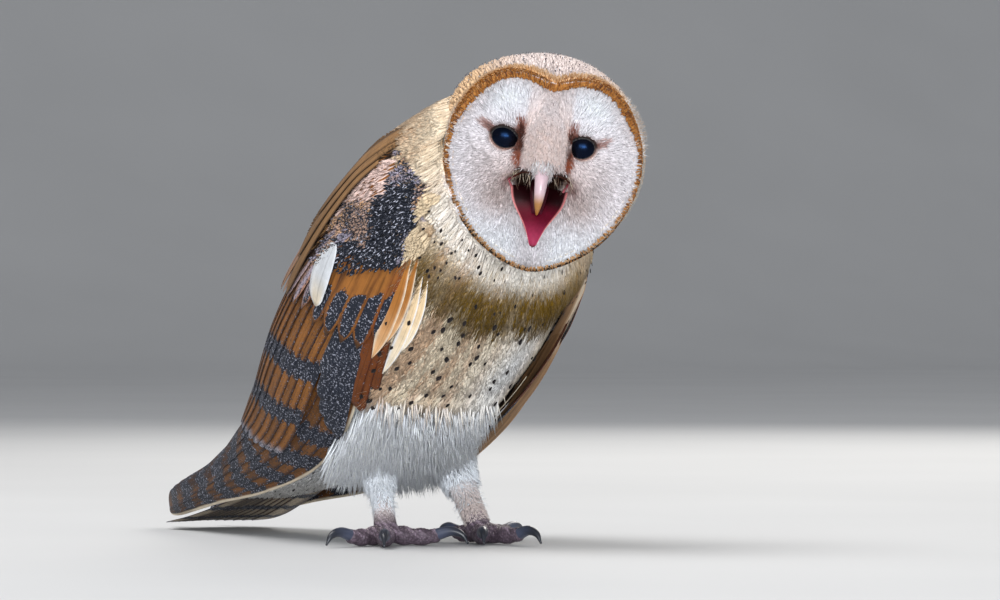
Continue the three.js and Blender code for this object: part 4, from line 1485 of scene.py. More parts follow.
# A thin strip just inside the fold's front edge, near black: painted shadow under the fold.
GAP = [(0.08, 0.64), (0.128, 0.595), (0.21, 0.525), (0.3, 0.465), (0.36, 0.44), (0.36, 0.475),
       (0.3, 0.5), (0.21, 0.56), (0.13, 0.635), (0.08, 0.68)]
COVERT_MARKS = [
    (WING_FRONT, 0.6 * C.buff + 0.35 * C.cream, 0.04),
    (FOLD, C.fold * 0.8, 0.14),
    (SCAPULARS, C.disc_blush * 1.25, 0.0),
    (AMBER_MIDDLE, 0.55 * C.amber_pale + 0.35 * C.lilac, 0.36),
    (DARK_PATCH, C.slate_pale * 0.5, 0.66),
    (GAP, C.fold_dark, 0.0),
]


def covert_marks(u, v):
    """The colour and pepper of a wing's small coverts at each place."""
    ju = u + 0.009 * (wobble(u * 90, v * 14, 21) - 0.5)
    jv = v + 0.06 * (wobble(u * 90, v * 14, 22) - 0.5)
    base = blend(C.lilac, C.amber_pale, 0.9 * smooth(wobble(u * 20, v * 60, 23), 0.4, 0.75))
    mark = 0.27 + 0.2 * wobble(u * 70, v * 20, 24)
    for outline, colour, pepper in COVERT_MARKS:
        found = inside(outline, ju, jv)
        base = np.where(found[..., None], colour, base)
        mark = np.where(found, pepper, mark)
    return base, mark


def dress_small_coverts(name, surface):
    u, v = scatter(COUNT[f"coverts_{name}"], (0.088, 0.315), (-0.06, 1.03),
                   lambda u, v: (u > 0.13) | ((v > 0.12) & (v < 0.9)))
    last = np.interp(v, (-0.05, 0.02, 0.06, 0.2, 0.32, 0.5), (0.15, 0.17, 0.19, 0.228, 0.27, 0.31))
    u, v = u[u < last], v[u < last]
    colour, mark = covert_marks(u, v)
    n = len(u)
    length = mix(3.2, 5.4, smooth(u, 0.1, 0.3)) * rng.uniform(0.8, 1.2, n)
    dark = mark > 0.5
    streaked = blend(C.amber, C.rust, 0.5 * rng.random(n))
    chosen = (rng.random(n) < 0.16) & (mark < 0.1) & (u > 0.09) & (v > 0.3)
    colour = np.where(chosen[:, None], streaked, colour)
    colour = varied(colour, 0.08)
    sleek = (mark < 0.1) & (v > 0.33)
    slim = np.where(dark, rng.uniform(0.9, 1.6, n), rng.uniform(1.1, 2.1, n))
    slim = np.where(sleek, 0.75 * slim, slim)
    length = length * np.where(dark, 0.75, np.where(sleek, 3.2, 1.0))
    fleck = dark & (rng.random(n) < 0.1)
    mark = np.where(fleck, 0.0, mark)
    colour = np.where(fleck[:, None], C.slate_pale * 1.5, colour)
    length, slim = np.where(fleck, 1.1, length), np.where(fleck, 0.5, slim)
    swing = np.where(dark, 26, np.where(sleek, 4, 7))
    tip = np.where(sleek, 0.3, np.where(fleck, 1.2, 0.85))
    coat = tufts(surface, WING_FLOW, u, v, length, slim, colour, shape=LEAF, swing=swing,
                 lift=(np.where(fleck, 0.6, -1.5), tip), curl=0.06, thick=0.16, arch=0.15)
    coat["mark"] = mark + rng.normal(0, 0.03, n)
    coat_piece(f"coat_wing_{name}_lesser", PLUME, "slate_plumage", coat)


def greater_paint(u, v, t, s, index):
    """Amber at the root and a dark peppered tip; grey and amber together towards the back."""
    behind, fold, end = smooth(v, 0.33, 0.42), smooth(v, 0.44, 0.5), smooth(t, 0.93, 0.97)
    stripe = 0.5 + 0.5 * np.sin(s * 4 + index * 1.9)
    line = smooth(np.sin(s * 11 + index * 2.3 + 0.8 * np.sin(9 * t)), 0.5, 0.95)
    start = 0.226 + 0.22 * np.clip(v, 0, 0.4) + 0.003 * np.sin(s * 5 + index) + 0.02 * s**2
    tip = smooth(u, start - 0.004, start + 0.004) * (1 - 0.85 * smooth(np.abs(s), 0.6, 0.8))
    tip = tip * (1 - end)
    base = layered(
        C.amber,
        (C.amber_dark, 0.2 + 0.6 * np.abs(s) ** 2),
        (C.rust * 2.0, 0.7 * fading(v, 0.0, 0.07)),
        (blend(C.lilac, C.amber, 0.8 * stripe), behind),
        (C.amber_dark * 0.6, 0.6 * line * (1 - behind)),
        # the last of each front feather near black: painted shadow in the gap before the primary
        # coverts
        (C.fold_dark, 0.9 * end * (1 - behind)),
        (C.fold, 0.7 * fold),
    )
    return base, mix(mix(0.06 + 0.58 * tip, 0.26 + 0.16 * tip * stripe, behind), 0.16, fold)


def flight_paint(bars, wide, amber, pale_tip):
    """Amber with dark peppered bars at set distances from the tip, as shares of the length."""

    def paint(u, v, t, s, index):
        # Dark towards both edges: painted shade between the overlapping feathers.
        base = blend(amber, C.amber_dark * 0.35, 0.06 + 0.94 * smooth(np.abs(s), 0.42, 0.92))
        base = base * (0.92 + 0.16 * np.sin(index * 2.4))[..., None]
        mark = 0.22 + 0.06 * smooth(np.abs(s), 0.3, 0.8)
        for bar in bars:
            off = np.abs(1 - t - bar + 0.008 * np.sin(s * 6 + index * 1.7)
                         + 0.006 * np.sin(index * 3.1))
            mark = np.maximum(mark, 0.22 + 0.42 * fading(off, wide * 0.6, wide))
        end = smooth(t, 1 - pale_tip, 1 - pale_tip * 0.4)
        base = blend(base, C.slate_pale * 1.3, 0.8 * end)
        return base, mix(mark, 0.34, end)

    return paint


def edged_paint(colour, edge, mark, tip=None):
    """One colour with another along its edges, and a third towards the tip."""

    def paint(u, v, t, s, index):
        base = blend(colour + 0 * t[..., None], colour if tip is None else tip,
                     smooth(t, 0.5, 0.95))
        return blend(base, edge, smooth(np.abs(s), 0.62, 0.9)), mark + 0 * t

    return paint


def dark_paint(u, v, t, s, index):
    base = C.slate_pale * 0.6 + 0 * t[..., None]
    return base, 0.6 - 0.2 * smooth(np.abs(s), 0.8, 1)


def feather_set(surface, feathers, rise, paint, outline, **settings):
    """Feathers given one by one as (root u, root v, tip u, tip v, width)."""
    f = np.array(feathers, float)
    return plumes(surface, f[:, :2], f[:, 2:4], f[:, 4], rise, paint, outline, **settings)


# Feathers given one by one: root u and v, tip u and v, width.
GREATER_COVERTS = [(0.16, 0.03, 0.302, -0.012, 8.5), (0.17, 0.11, 0.322, 0.062, 10.0),
                   (0.18, 0.19, 0.332, 0.14, 10.0), (0.2, 0.27, 0.342, 0.22, 10.0),
                   (0.22, 0.35, 0.35, 0.3, 9.0)]
FRONT_FEATHERS = [(0.15, 0.02, 0.318, -0.018, 6.5), (0.15, -0.03, 0.288, -0.054, 4.5)]
CREAM_FEATHERS = [(0.16, -0.1, 0.33, -0.085, 4.6), (0.17, -0.14, 0.29, -0.128, 3.8)]
PRIMARY_COVERTS = [(0.3, 0.17, 0.385, 0.14, 6.0), (0.3, 0.145, 0.415, 0.108, 6.5),
                   (0.3, 0.11, 0.438, 0.072, 6.5), (0.3, 0.075, 0.453, 0.034, 6.5),
                   (0.3, 0.045, 0.462, -0.004, 6.0)]
RUST_FEATHERS = [(0.27, 0.03, 0.395, -0.02, 7.0), (0.26, 0.0, 0.4, -0.05, 7.0),
                 (0.27, -0.03, 0.36, -0.08, 6.0)]
PALE_FEATHER = (0.26, 0.395, 0.33, 0.325, 15.0)
FOLD_FEATHERS = [(0.13, 0.62, 0.375, 0.485, 9.0), (0.09, 0.7, 0.34, 0.56, 9.5),
                 (0.06, 0.79, 0.29, 0.65, 9.5)]
# The far wing's leading edge: the same, with degrees round the hull for v.
FAR_EDGE = [(0.17, 55, 0.4, 50, 9.0), (0.27, 54, 0.47, 44, 9.0), (0.36, 51, 0.545, 41, 9.0)]


def far_edge_paint(u, v, t, s, index):
    """Brown, pale near the shoulder, with a gold line along its outer edge."""
    base = layered(
        C.fold * 0.6,
        (C.fold * 1.2, 0.5 + 0.5 * np.sin(s * 9 + index * 2 + 3 * t)),
        (C.fold_dark, 0.75 * smooth(-s, 0.1, 0.9)),
        (C.cream, 0.6 * smooth(s, -0.2, 0.3) * fading(u, 0.27, 0.34)),
        (C.gold, smooth(s, 0.72, 0.9)),
    )
    return base, 0.06 + 0 * t


def dress_far_edge():
    """The left wing's leading edge, which stands off the breast."""
    rise = (np.array([-2.4, -2.6, -2.6]), np.array([-2.6, 1.2, 5.5]))
    made = feather_set(hull, FAR_EDGE, rise, far_edge_paint, LONG, rows=40, columns=9, tilt=-3.0,
                       arch=0.6, outer_share=1.0)
    plume_piece("coat_wing_left_edge", PLUME, [made])


def dress_coverts(name, surface):
    back = np.arange(0.375, 1.02, 0.055)
    end = 0.356 + 0.19 * (back - 0.375)
    behind = np.column_stack([end - 0.12, back * 0.98 + 0.02, end, back, np.full(len(back), 8.0)])
    greater = feather_set(surface, [*GREATER_COVERTS, *behind], (-2.0, 0.25), greater_paint,
                          ROUNDED, rows=26, columns=9)
    rust = edged_paint(C.amber_dark * [1.1, 0.9, 0.7], C.rust * 0.7, 0.2)
    lower = feather_set(surface, RUST_FEATHERS, (-1.6, -0.5), rust, LONG, rows=20, columns=7)
    dark = feather_set(surface, PRIMARY_COVERTS, (-1.8, -0.3), dark_paint, LONG, rows=30, columns=7)
    gold = edged_paint(C.amber * 1.05, C.cream, 0.03, C.amber_pale)
    front = feather_set(surface, FRONT_FEATHERS, (-1.6, 0.9), gold, LANCE, rows=24, columns=9,
                        bow=-0.03)
    pale = edged_paint(C.buff, C.white, 0.02, C.cream)
    cream = feather_set(surface, CREAM_FEATHERS, (-1.8, 0.9), pale, LANCE, rows=20, columns=9,
                        bow=-0.03)
    plain = edged_paint(C.white * 0.72, C.white * 0.8, 0.0, C.cream * 0.8)
    oval = feather_set(surface, [PALE_FEATHER], (0.3, 1.1), plain, OVAL, rows=16, columns=9)
    brown = edged_paint(C.fold, C.fold_dark, 0.12, C.fold * 0.7)
    fold = feather_set(surface, FOLD_FEATHERS, (0.0, 1.0), brown, LONG, rows=30, columns=9,
                       tilt=0.2)
    groups = [lower, dark, greater, front, cream, oval, fold]
    if name == "left":
        groups = [lower, dark, greater, oval, fold]
    plume_piece(f"coat_wing_{name}_coverts", PLUME, groups)


def dress_wing(name, side):
    surface = wing(side)
    dress_small_coverts(name, surface)
    dress_coverts(name, surface)
    v = np.arange(0.185, 1.03, 0.044)
    end = 0.522 + 0.19 * v
    roots = np.column_stack([end - 0.27, v * 0.95 + 0.04])
    tips = np.column_stack([end, v])
    paint = flight_paint([0.315, 0.605], 0.062, C.amber * 0.72, 0.07)
    secondaries = plumes(surface, roots, tips, 10.5, (-3.4, -0.5), paint, LONG, rows=40, columns=9,
                         outer_share=0.6, tilt=0.7, thick=0.5)
    # The primaries' tips reach beyond the tail.
    j = np.arange(10)
    tips = np.column_stack([0.975 - 0.0016 * j - 0.0035 * np.maximum(j - 2, 0) ** 1.6,
                            0.02 + 0.1 * j])
    roots = np.column_stack([0.36 + 0.006 * j, 0.0 + 0.055 * j])
    paint = flight_paint([0.1, 0.2, 0.3, 0.4, 0.5, 0.6, 0.7, 0.8], 0.033, C.amber * 0.45, 0.03)
    primaries = plumes(surface, roots, tips, 12.5, (-4.0, -0.8), leading(paint), LONG, rows=70,
                       columns=9, outer_share=0.55, tilt=0.6, thick=0.55)
    plume_piece(f"coat_wing_{name}_flight", PLUME, [secondaries, primaries])
    if name == "left":
        dress_far_edge()


def leading(paint):
    """The same paint with a cream line along the foremost feather's front edge."""

    def painted(u, v, t, s, index):
        base, mark = paint(u, v, t, s, index)
        edge = (index < 0.5) * smooth(-s, 0.55, 0.8)
        return blend(base, C.cream, 0.85 * edge), mark * (1 - edge)

    return painted


def tail_surface(y, across, rise):
    """The tail's upper face: y along it, across from -1 to 1."""
    t = (y - TAIL["y"][0]) / (TAIL["y"][-1] - TAIL["y"][0])
    z = through(TAIL["z"], t) + 1.6 * (1 - across**2) * (1 - np.clip(t, 0, 1)) + 1.3 + rise
    x = TAIL["x"] + across * through(TAIL["half_width"], t)
    return np.stack([x, y, np.maximum(z, 0.5 + 0.2 * rise)], -1)


def dress_tail():
    across = np.linspace(-0.92, 0.92, 12)
    order = np.abs(across)
    paint = flight_paint([0.16, 0.36, 0.56, 0.76], 0.035, C.tail, 0.06)
    tips = np.column_stack([TAIL["y"][-1] - TAIL["round_tip"] * across**2 - 1.0, across])
    roots = np.column_stack([np.full(12, TAIL["y"][0] - 6), across * 0.8])
    feathers = plumes(tail_surface, roots, tips, 8.5, (-0.3 - 0.5 * order, 0.5 - 0.8 * order),
                      paint, LONG, rows=50, columns=7, tilt=0, arch=0.3, thick=0.6)
    made = plume_piece("coat_tail", PLUME, [feathers])
    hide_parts("tail")


# ---- legs ----
def leg_surfaces(leg):
    hip, full = spot(*leg["hip"]), leg["fullness"]
    knee = mix(hip, spot(*leg["ankle"]), 0.5) + [0, -5, 2]
    line = [hip, knee, on_shin(leg, 0.1), on_shin(leg, 0.45), on_shin(leg, 0.8)]
    thigh = limb(line, np.array([19.5, 17.5, 12.5, 8.2, 5.2]) * full)
    shin = [on_shin(leg, 0.14), on_shin(leg, 0.5), on_shin(leg, 0.98)]
    tarsus = limb(shin, np.array([8.2, 6.2, 4.6, 4.3]) * full)
    return thigh, tarsus


def toe_surface(leg, name):
    way, length, at = spot(*leg["toes"][name]), TOE_LENGTHS[name], spot(*leg["at"])
    heights = (5.0, 3.7, 3.5, 4.3)
    points = [(*(at + way * length * share), h) for share, h in zip((0, 0.4, 0.72, 1), heights)]
    t = np.linspace(0, 1, 25)
    radii = mix(4.0, 2.9, t) + 0.3 * np.cos(t * np.pi * 6)
    radii[-4:] *= (1.0, 0.95, 0.84, 0.62)
    return limb(points, radii)


def belly_fringe():
    """Soft plumes that hang straight down from the belly, over the tops of the legs."""
    angle = rng.uniform(-36, 27, COUNT["belly_fringe"])
    u = 0.35 + 0.15 * rng.random(len(angle)) ** 0.55
    lean = 0.03 * smooth(angle, 2, 24)
    white = smooth(u, 0.345 + lean, 0.38 + lean)
    # The belly's white taken 5% past the plumage's white: painted light on the fringe's shaded
    # underside.
    colour = varied(blend(body_colour(u, angle), C.white * 1.05, white), 0.03)

    def curtain(angle, down, height):
        start = body(u, angle, height - 3.4)
        return start + np.stack([0 * down, 0.12 * down, -down], -1)

    flow = {**LIMB_FLOW, "scale": (3, 1), "way": along_second,
            "place": lambda a, d: (0.5 + a / 400, long_map(u))}
    return tufts(curtain, flow, angle, np.zeros(len(angle)), between(9, 16, angle),
                 between(0.5, 1.2, angle), colour, swing=9,
                 lift=(-0.8, mix(0.9, 4.4, smooth(u, 0.36, 0.44))), curl=0.1, thick=0.1)


def dress_legs():
    groups, thin = [], []
    for leg in FEET.values():
        thigh, tarsus = leg_surfaces(leg)
        t, angle = scatter(COUNT["thigh"], (0.0, 0.84), (0, 360))
        colour = varied(rows_of(C.white, len(t)), 0.03)
        groups.append(tufts(thigh, LIMB_FLOW, t, angle, mix(13, 5, t) * between(0.75, 1.2, t),
                            mix(1.5, 0.6, t) * between(0.6, 1.1, t), colour, swing=10,
                            lift=(-2.4, 0.9), curl=0.14, thick=0.12))
        t, angle = scatter(COUNT["shin"], (0.0, 0.95), (0, 360))
        bare = smooth(t, 0.5, 1.0)
        pink = smooth(t, 0.7, 1.0) if leg is FEET["right"] else smooth(t, 0.2, 0.8)
        colour = varied(blend(C.white, C.shin, pink), 0.05)
        thin.append(tufts(tarsus, LIMB_FLOW, t, angle, mix(5.2, 2.2, bare) * between(0.8, 1.2, t),
                          between(0.35, 0.6, t), colour, swing=14, lift=(-1.2, 0.5), curl=0.12,
                          thick=0.1))
        # Fine hairs that stand off the shin.
        t, angle = scatter(COUNT["shin_hairs"], (0.1, 0.82), (0, 360))
        thin.append(tufts(tarsus, LIMB_FLOW, t, angle, between(2.0, 3.6, t), 0.2,
                          varied(rows_of(C.white, len(t)), 0.05), swing=35, lift=(-0.4, 2.4),
                          curl=0.2, thick=0.08))
        for toe in leg["toes"]:
            surface = toe_surface(leg, toe)
            t, angle = scatter(COUNT["toe_hairs"], (0.05, 0.6), (30, 150))
            thin.append(tufts(surface, LIMB_FLOW, t, angle, between(1.0, 2.0, t), 0.18,
                              varied(rows_of(C.shin, len(t)), 0.1), swing=20, lift=(-0.2, 0.6),
                              thick=0.07))
    coat_piece("coat_thighs", DOWN, "white_plumage", *groups, belly_fringe())
    coat_piece("coat_shins", DOWN, "white_plumage", *thin, mark_skin=False)


def dress_undertail():
    """White plumes under the tail's root, with small dark marks."""
    u, angle = scatter(COUNT["undertail"], (0.48, 0.74), (-75, 75),
                       lambda u, a: np.abs(a) < through(HULL["wing_front"], u) + 2)
    colour = varied(blend(C.white, C.cream, 0.35 * smooth(u, 0.5, 0.7)), 0.07)
    colour = np.where((rng.random(len(u)) > 0.975)[:, None], C.spot * 2.5, colour)
    under = lambda p, q, h: hull(p, q, h - 0.4 * through(HULL["belly"], p) * smooth(p, 0.4, 0.66))
    blades = tufts(under, HULL_FLOW, u, angle, between(9, 14, u), between(1.6, 3.2, u), colour,
                   shape=LEAF, swing=10, lift=(-2.6, 0.1), curl=0.05, thick=0.14)
    coat_piece("coat_undertail", DOWN, "white_plumage", blades)


# ---- skin ----
VOXEL = {"body": 1.25, "feet": 0.42}
SOLE = 0.1  # the feet's least height over the floor
SKIN_SAMPLES = 45000  # about how many feather roots the skin's colours are taken from
LID_STEPS = 96
MOUTH_STEPS = 40
MOUTH_MIDDLE = np.array([-0.5, -9.5])
GAPE_CUT = [(-60, 1.0), (-26, 1.0), (-15, 0.8), (-7, 0.4)]  # the mouth's cut: depth and scale


def rings_of(surface, p_values, q_values, rise=0.0):
    """Rings round a surface; rise is its height, or gives it for two coordinates."""
    height = rise if callable(rise) else lambda p, q: np.full(len(q), float(rise))
    return np.stack([surface(np.full(len(q_values), p), q_values, height(p, q_values))
                     for p in p_values])


def ring_shares(count, sides):
    """A loft's share of length for each of its points, its two ends last."""
    return np.r_[np.repeat(np.linspace(0, 1, count), sides), 0, 1]


def skin_rise(u, angle):
    side = np.abs(angle)
    front, back = through(HULL["wing_front"], u), through(HULL["wing_back"], u)
    under = smooth(side, front - 8, front + 6) * fading(side, back, back + 6)
    flight = smooth(u, 0.24, 0.36)
    slim = 0.4 * through(HULL["belly"], u) * smooth(u, 0.4, 0.66)
    return -COAT_DEPTH["body"] - 4.2 * under * flight - slim - fall(u, angle)


def skin_bodies():
    round_body = np.linspace(-180, 180, 97)[:-1]
    at = lambda u, a: skin_rise(np.full(len(a), u), a)
    trunk = loft(behind_face(rings_of(hull, np.linspace(0.03, 0.68, 60), round_body, at)))
    around = turns(72)
    shares = [*np.linspace(0.03, 1, 26), *np.linspace(1.04, 1.985, 22)]
    depth = lambda s: mix(COAT_DEPTH["face"], COAT_DEPTH["head"], smooth(s, 1.0, 1.1))
    rise = lambda s, a: np.full(len(a), -depth(s))
    skull = loft(rings_of(lambda s, a, h: head(a, s, h), shares, around, rise))
    bodies = [trunk, skull]
    sides = turns(28)
    for leg in FEET.values():
        thigh, tarsus = leg_surfaces(leg)
        bodies.append(loft(rings_of(thigh, np.linspace(0, 1, 20), sides, -2.2)))
        bodies.append(loft(rings_of(tarsus, np.linspace(0, 1, 16), sides, -1.1)))
    return bodies


def foot_bodies():
    bodies = []
    sides = turns(24)
    for leg in FEET.values():
        pad = []
        for a in np.linspace(0.06, np.pi - 0.06, 14):
            x = leg["at"][0] + PAD_SKIN["radius"] * np.sin(a) * np.cos(np.radians(sides))
            y = leg["at"][1] + PAD_SKIN["radius"] * np.sin(a) * np.sin(np.radians(sides))
            z = PAD_SKIN["middle"] + PAD_SKIN["half_height"] * np.cos(a)
            pad.append(np.column_stack([x, y, np.full(len(x), z)]))
        bodies.append(loft(pad))
        shank = limb([on_shin(leg, 0.6), on_shin(leg, 0.8), on_shin(leg, 1.0)], [3.8, 3.9, 5.0])
        bodies.append(loft(rings_of(shank, np.linspace(0, 1, 8), sides)))
        for toe in leg["toes"]:
            surface = toe_surface(leg, toe)
            ridges = lambda t: 0.34 * np.abs(np.sin(t * TOE_LENGTHS[toe] * 2.0))
            scutes = lambda t, a: ridges(t) * (np.sin(np.radians(a)) > -0.2)
            bodies.append(loft(rings_of(surface, np.linspace(0, 1, 90), sides, scutes)))
    return bodies


# A lid's section: reach from the eye's opening, and lift off the eyeball.
LID = [(-0.15, -0.35), (0.02, 0.0), (0.26, 0.06), (0.38, 0.16), (0.52, 0.1), (1.3, 0.16),
       (2.4, 0.1), (3.2, -0.9), (3.4, -1.9), (0.6, -1.9)]


def lid_bodies():
    """A lid round each eye: a soft ring along the eye's opening, blending out into the face."""
    bodies = []
    for side in EYE_AT:
        rings = []
        for a in turns(LID_STEPS, 2 * np.pi):
            edge = lid_edge(side, a, 0.0)
            away = unit(lid_edge(side, a, 2.0) - edge)
            out = unit(edge - eye_centre(side))
            rings.append([edge + away * reach + out * lift for reach, lift in LID])
        bodies.append(ring_loop(in_head(np.array(rings))))
    return bodies


def eye_centre(side):
    x, z = BALL_AT[side]
    rise = face_rise(np.array(EYE["x"]), np.array(EYE["z"]))
    return np.array([x, -HEAD["rim"] - rise + EYE["depth"], z])


def lid_edge(side, turn, grow):
    """A point of the eye's almond opening, on the eyeball; its corner by the bill is drawn out."""
    ex, ez = EYE_AT[side]
    sign = -1 if side == "right" else 1
    inward = max(-np.cos(turn), 0)
    width = (ALMOND["in"] if inward else ALMOND["out"]) + grow
    height = (ALMOND["up"] + grow) * (1 - ALMOND["pinch"] * inward**2)
    a, b = np.cos(turn) * width, np.sin(turn) * height
    x = ex + sign * (a * np.cos(EYE_TILT) - b * np.sin(EYE_TILT))
    z = ez + a * np.sin(EYE_TILT) + b * np.cos(EYE_TILT)
    centre = eye_centre(side)
    radius = EYE["radius"] + LID_EDGE
    deep = np.sqrt(max(radius**2 - (x - centre[0]) ** 2 - (z - centre[2]) ** 2, 12))
    return np.array([x, centre[1] - deep, z])


def gape_outline():
    """The open mouth's outline, round from one corner: a triangle with its point down."""
    corners = np.array([(-12.6, -7.8), (-7, -3.4), (0, -2.4), (7, -3.2), (11.4, -5.6), (7.9, -14),
                        (3.5, -24), (0.2, -31.5), (-3.9, -24.6), (-8.7, -15)])
    closed = np.vstack([corners, corners[:1]])
    length = np.r_[0, np.cumsum(np.linalg.norm(np.diff(closed, axis=0), axis=1))]
    at = turns(MOUTH_STEPS, length[-1])
    return np.column_stack([np.interp(at, length, closed[:, k]) for k in range(2)])


def gape_ring(y, scale, grow=0.0):
    outward_from = gape_outline() - MOUTH_MIDDLE
    x, z = (MOUTH_MIDDLE + outward_from * scale + unit(outward_from) * grow).T
    return np.column_stack([x, np.full(len(x), float(y)), z])


def apply_modifiers(made):
    depsgraph = bpy.context.evaluated_depsgraph_get()
    mesh = bpy.data.meshes.new_from_object(made.evaluated_get(depsgraph))
    made.modifiers.clear()
    made.data = mesh


def remeshed(name, bodies, voxel, cut=None, soften=2):
    made = make_object(name, *joined(bodies), None)
    remesh = made.modifiers.new("remesh", "REMESH")
    remesh.mode = "VOXEL"
    remesh.voxel_size = voxel / 1000
    if cut is not None:
        cutter = make_object("cutter", *cut, None)
        carve = made.modifiers.new("carve", "BOOLEAN")
        carve.object = cutter
        carve.solver = "EXACT"
    apply_modifiers(made)
    if cut is not None:
        bpy.data.objects.remove(cutter)
    relax = made.modifiers.new("relax", "SMOOTH")
    relax.iterations = soften
    relax.factor = 0.5
    apply_modifiers(made)
    mesh = made.data
    mesh.calc_loop_triangles()
    points = np.zeros(len(mesh.vertices) * 3, np.float32)
    mesh.vertices.foreach_get("co", points)
    faces = np.zeros(len(mesh.loop_triangles) * 3, np.int32)
    mesh.loop_triangles.foreach_get("vertices", faces)
    bpy.data.objects.remove(made)
    return points.reshape(-1, 3).astype(float) * 1000 - SHIFT, faces.reshape(-1, 3)


def skin_colours(points):
    """Each point's markings: those of the nearest feathers' roots, softened."""
    places = np.vstack([m[0] for m in SKIN_MARKS])
    colours = np.vstack([m[1] for m in SKIN_MARKS])
    keep = rng.random(len(places)) < min(1, SKIN_SAMPLES / len(places))
    places, colours = places[keep], colours[keep]
    tree = KDTree(len(places))
    for i, place in enumerate(places):
        tree.insert(place, i)
    tree.balance()
    found = np.empty((len(points), 3))
    for i, point in enumerate(points):
        found[i] = colours[[index for _, index, _ in tree.find_n(point, 3)]].mean(0)
    return found


FLESH = [
    "head", "facial_disc", "neck", "trunk",
    *(f"{part}_{side}" for side in FEET for part in ("thigh", "tarsus", "foot")),
    *(f"toe_{side}_{toe}" for side in FEET for toe in TOE_LENGTHS),
]
WING_NODES = [f"wing_{side}_{part}" for side in FEET
              for part in ("coverts", "secondaries", "primaries")]


def skin_material():
    look = Look("skin")
    coat, place = look.attribute("coat", "Color"), look.place()
    blotch = look.ramp(look.noise(place, 300, 4), (0.3, 0.86), (0.7, 1.1))
    cells = look.add("ShaderNodeTexVoronoi", {"Scale": 1100, "Vector": place}).outputs["Distance"]
    # Painted highlight: each scale is lighter over its middle and darker at its rim.
    scale = look.ramp(cells, (0.1, 1.35), (0.6, 0.7))
    colour = look.times(look.times(coat, blotch), scale)
    look.bumped(cells, 0.8, 0.0005)
    return look.finished({"Base Color": colour, "Roughness": 0.55, "Specular IOR Level": 0.4})


def toe_colours(points, mottle):
    """Grey toes with paler patches, partly real mottling and partly painted highlight on their upper
    sides, turning to the shins' pink above them.
    """
    x, y, z = points.T
    patch = wobble((x + z) * 1.5, (y - z) * 1.5, 31)
    # The pale patches only on the toes' upper sides: painted highlight over their mottling.
    toe = blend(C.toe, C.toe_pale, 0.75 * smooth(patch, 0.45, 0.8) * smooth(z, 2, 7)) * mottle
    return mix(toe, C.shin * mottle, (np.clip((z - 8.5) / 6, 0, 1) * 0.75)[:, None])


def paint_lids(lid):
    """The lids' colours by section, dark above the eye and paler below it."""
    place = np.arange(len(lid))
    section = (place % len(LID))[:, None]
    turn = 2 * np.pi * (place // len(LID) % LID_STEPS) / LID_STEPS
    below = smooth(-np.sin(turn), -0.1, 0.6)[:, None]
    lid[:] = np.where(section < 5, C.lid_dark, lid)
    bands = [(3, C.lid_dark, C.eyelid * 1.2), (4, C.lid_dark, C.rust),
             (5, C.rust * 0.4, C.disc_blush)]
    for k, dark, pale in bands:
        lid[:] = np.where(section == k, mix(dark, pale, below), lid)


def make_skin():
    gape, gape_faces = loft([gape_ring(y, scale) for y, scale in GAPE_CUT])
    body = remeshed("body", skin_bodies(), VOXEL["body"], cut=(in_head(gape), gape_faces))
    feet = remeshed("feet", foot_bodies(), VOXEL["feet"], soften=1)
    feet[0][:, 2] = np.maximum(feet[0][:, 2], SOLE)
    points, faces = joined([body, feet, joined(lid_bodies())])
    colours = skin_colours(points)
    mottle = rng.normal(1, 0.03, (len(points), 1))
    start = len(body[0])
    end = start + len(feet[0])
    colours[start:end] = toe_colours(feet[0], mottle[start:end])
    paint_lids(colours[end:])
    made = make_object("skin", points, faces, colours)
    print(f"skin: {len(faces)} triangles")
    finish_piece(made, skin_material())
    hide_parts(*FLESH, *WING_NODES)


# ---- eyes, bill and mouth ----
def gloss_material(name, roughness, coat_weight, grain=0.06, scale=500, distance=0.00008,
                   specular=0.5):
    """A hard or wet surface in its own colours, with a faint grain."""
    look = Look(name)
    coat, place = look.attribute("coat", "Color"), look.place()
    grained = look.noise(place, scale, 3)
    light = look.ramp(grained, (0.3, 1 - grain), (0.7, 1 + grain))
    colour = look.times(coat, light)
    look.bumped(grained, 0.2, distance)
    return look.finished({
        "Base Color": colour,
        "Roughness": roughness,
        "Specular IOR Level": specular,
        "Coat Weight": coat_weight,
        "Coat Roughness": 0.03,
    })


def eye_material():
    look = Look("eye")
    speckle = look.noise(look.place(), 200, 2)
    tint = look.ramp(speckle, (0.3, (0.0012, 0.0012, 0.002)), (0.7, (0.004, 0.003, 0.004)))
    return look.finished({
        "Base Color": tint,
        "Roughness": 0.21,
        "Specular IOR Level": 0.2,
        # painted reflection colour: the lamps' highlights in the eye tinted sky blue
        "Specular Tint": rgba((0.12, 0.36, 1.0)),
    })


def make_eyes():
    material = eye_material()
    for side in EYE_AT:
        centre = eye_centre(side)
        turn = np.linspace(0.03, np.pi - 0.03, 40)
        around = turns(64, 2 * np.pi)
        rings = [[(np.sin(a) * np.cos(b), -np.cos(a), np.sin(a) * np.sin(b)) for b in around]
                 for a in turn]
        points, faces = loft(np.array(rings) * EYE["radius"])
        points = in_head(points + centre)
        eye = make_object(f"eyeball_{side}", points, faces, np.zeros((len(points), 3)))
        finish_piece(eye, material, [f"eye_{side}"])


def along_middle(path, steps, section):
    """Rings along the head's middle plane; section(t) gives across and towards-the-back offsets."""
    rings = []
    for t in np.linspace(0, 1, steps):
        at = lambda s: np.array([0, through(path["y"], s), through(path["z"], s)], float)
        along = unit(at(t + 0.02) - at(t - 0.02))
        normal = np.array([0, -along[2], along[1]])
        across, back = section(t)
        ring = at(t)[None] + normal[None] * back[:, None]
        ring[:, 0] = across
        rings.append(ring)
    return rings


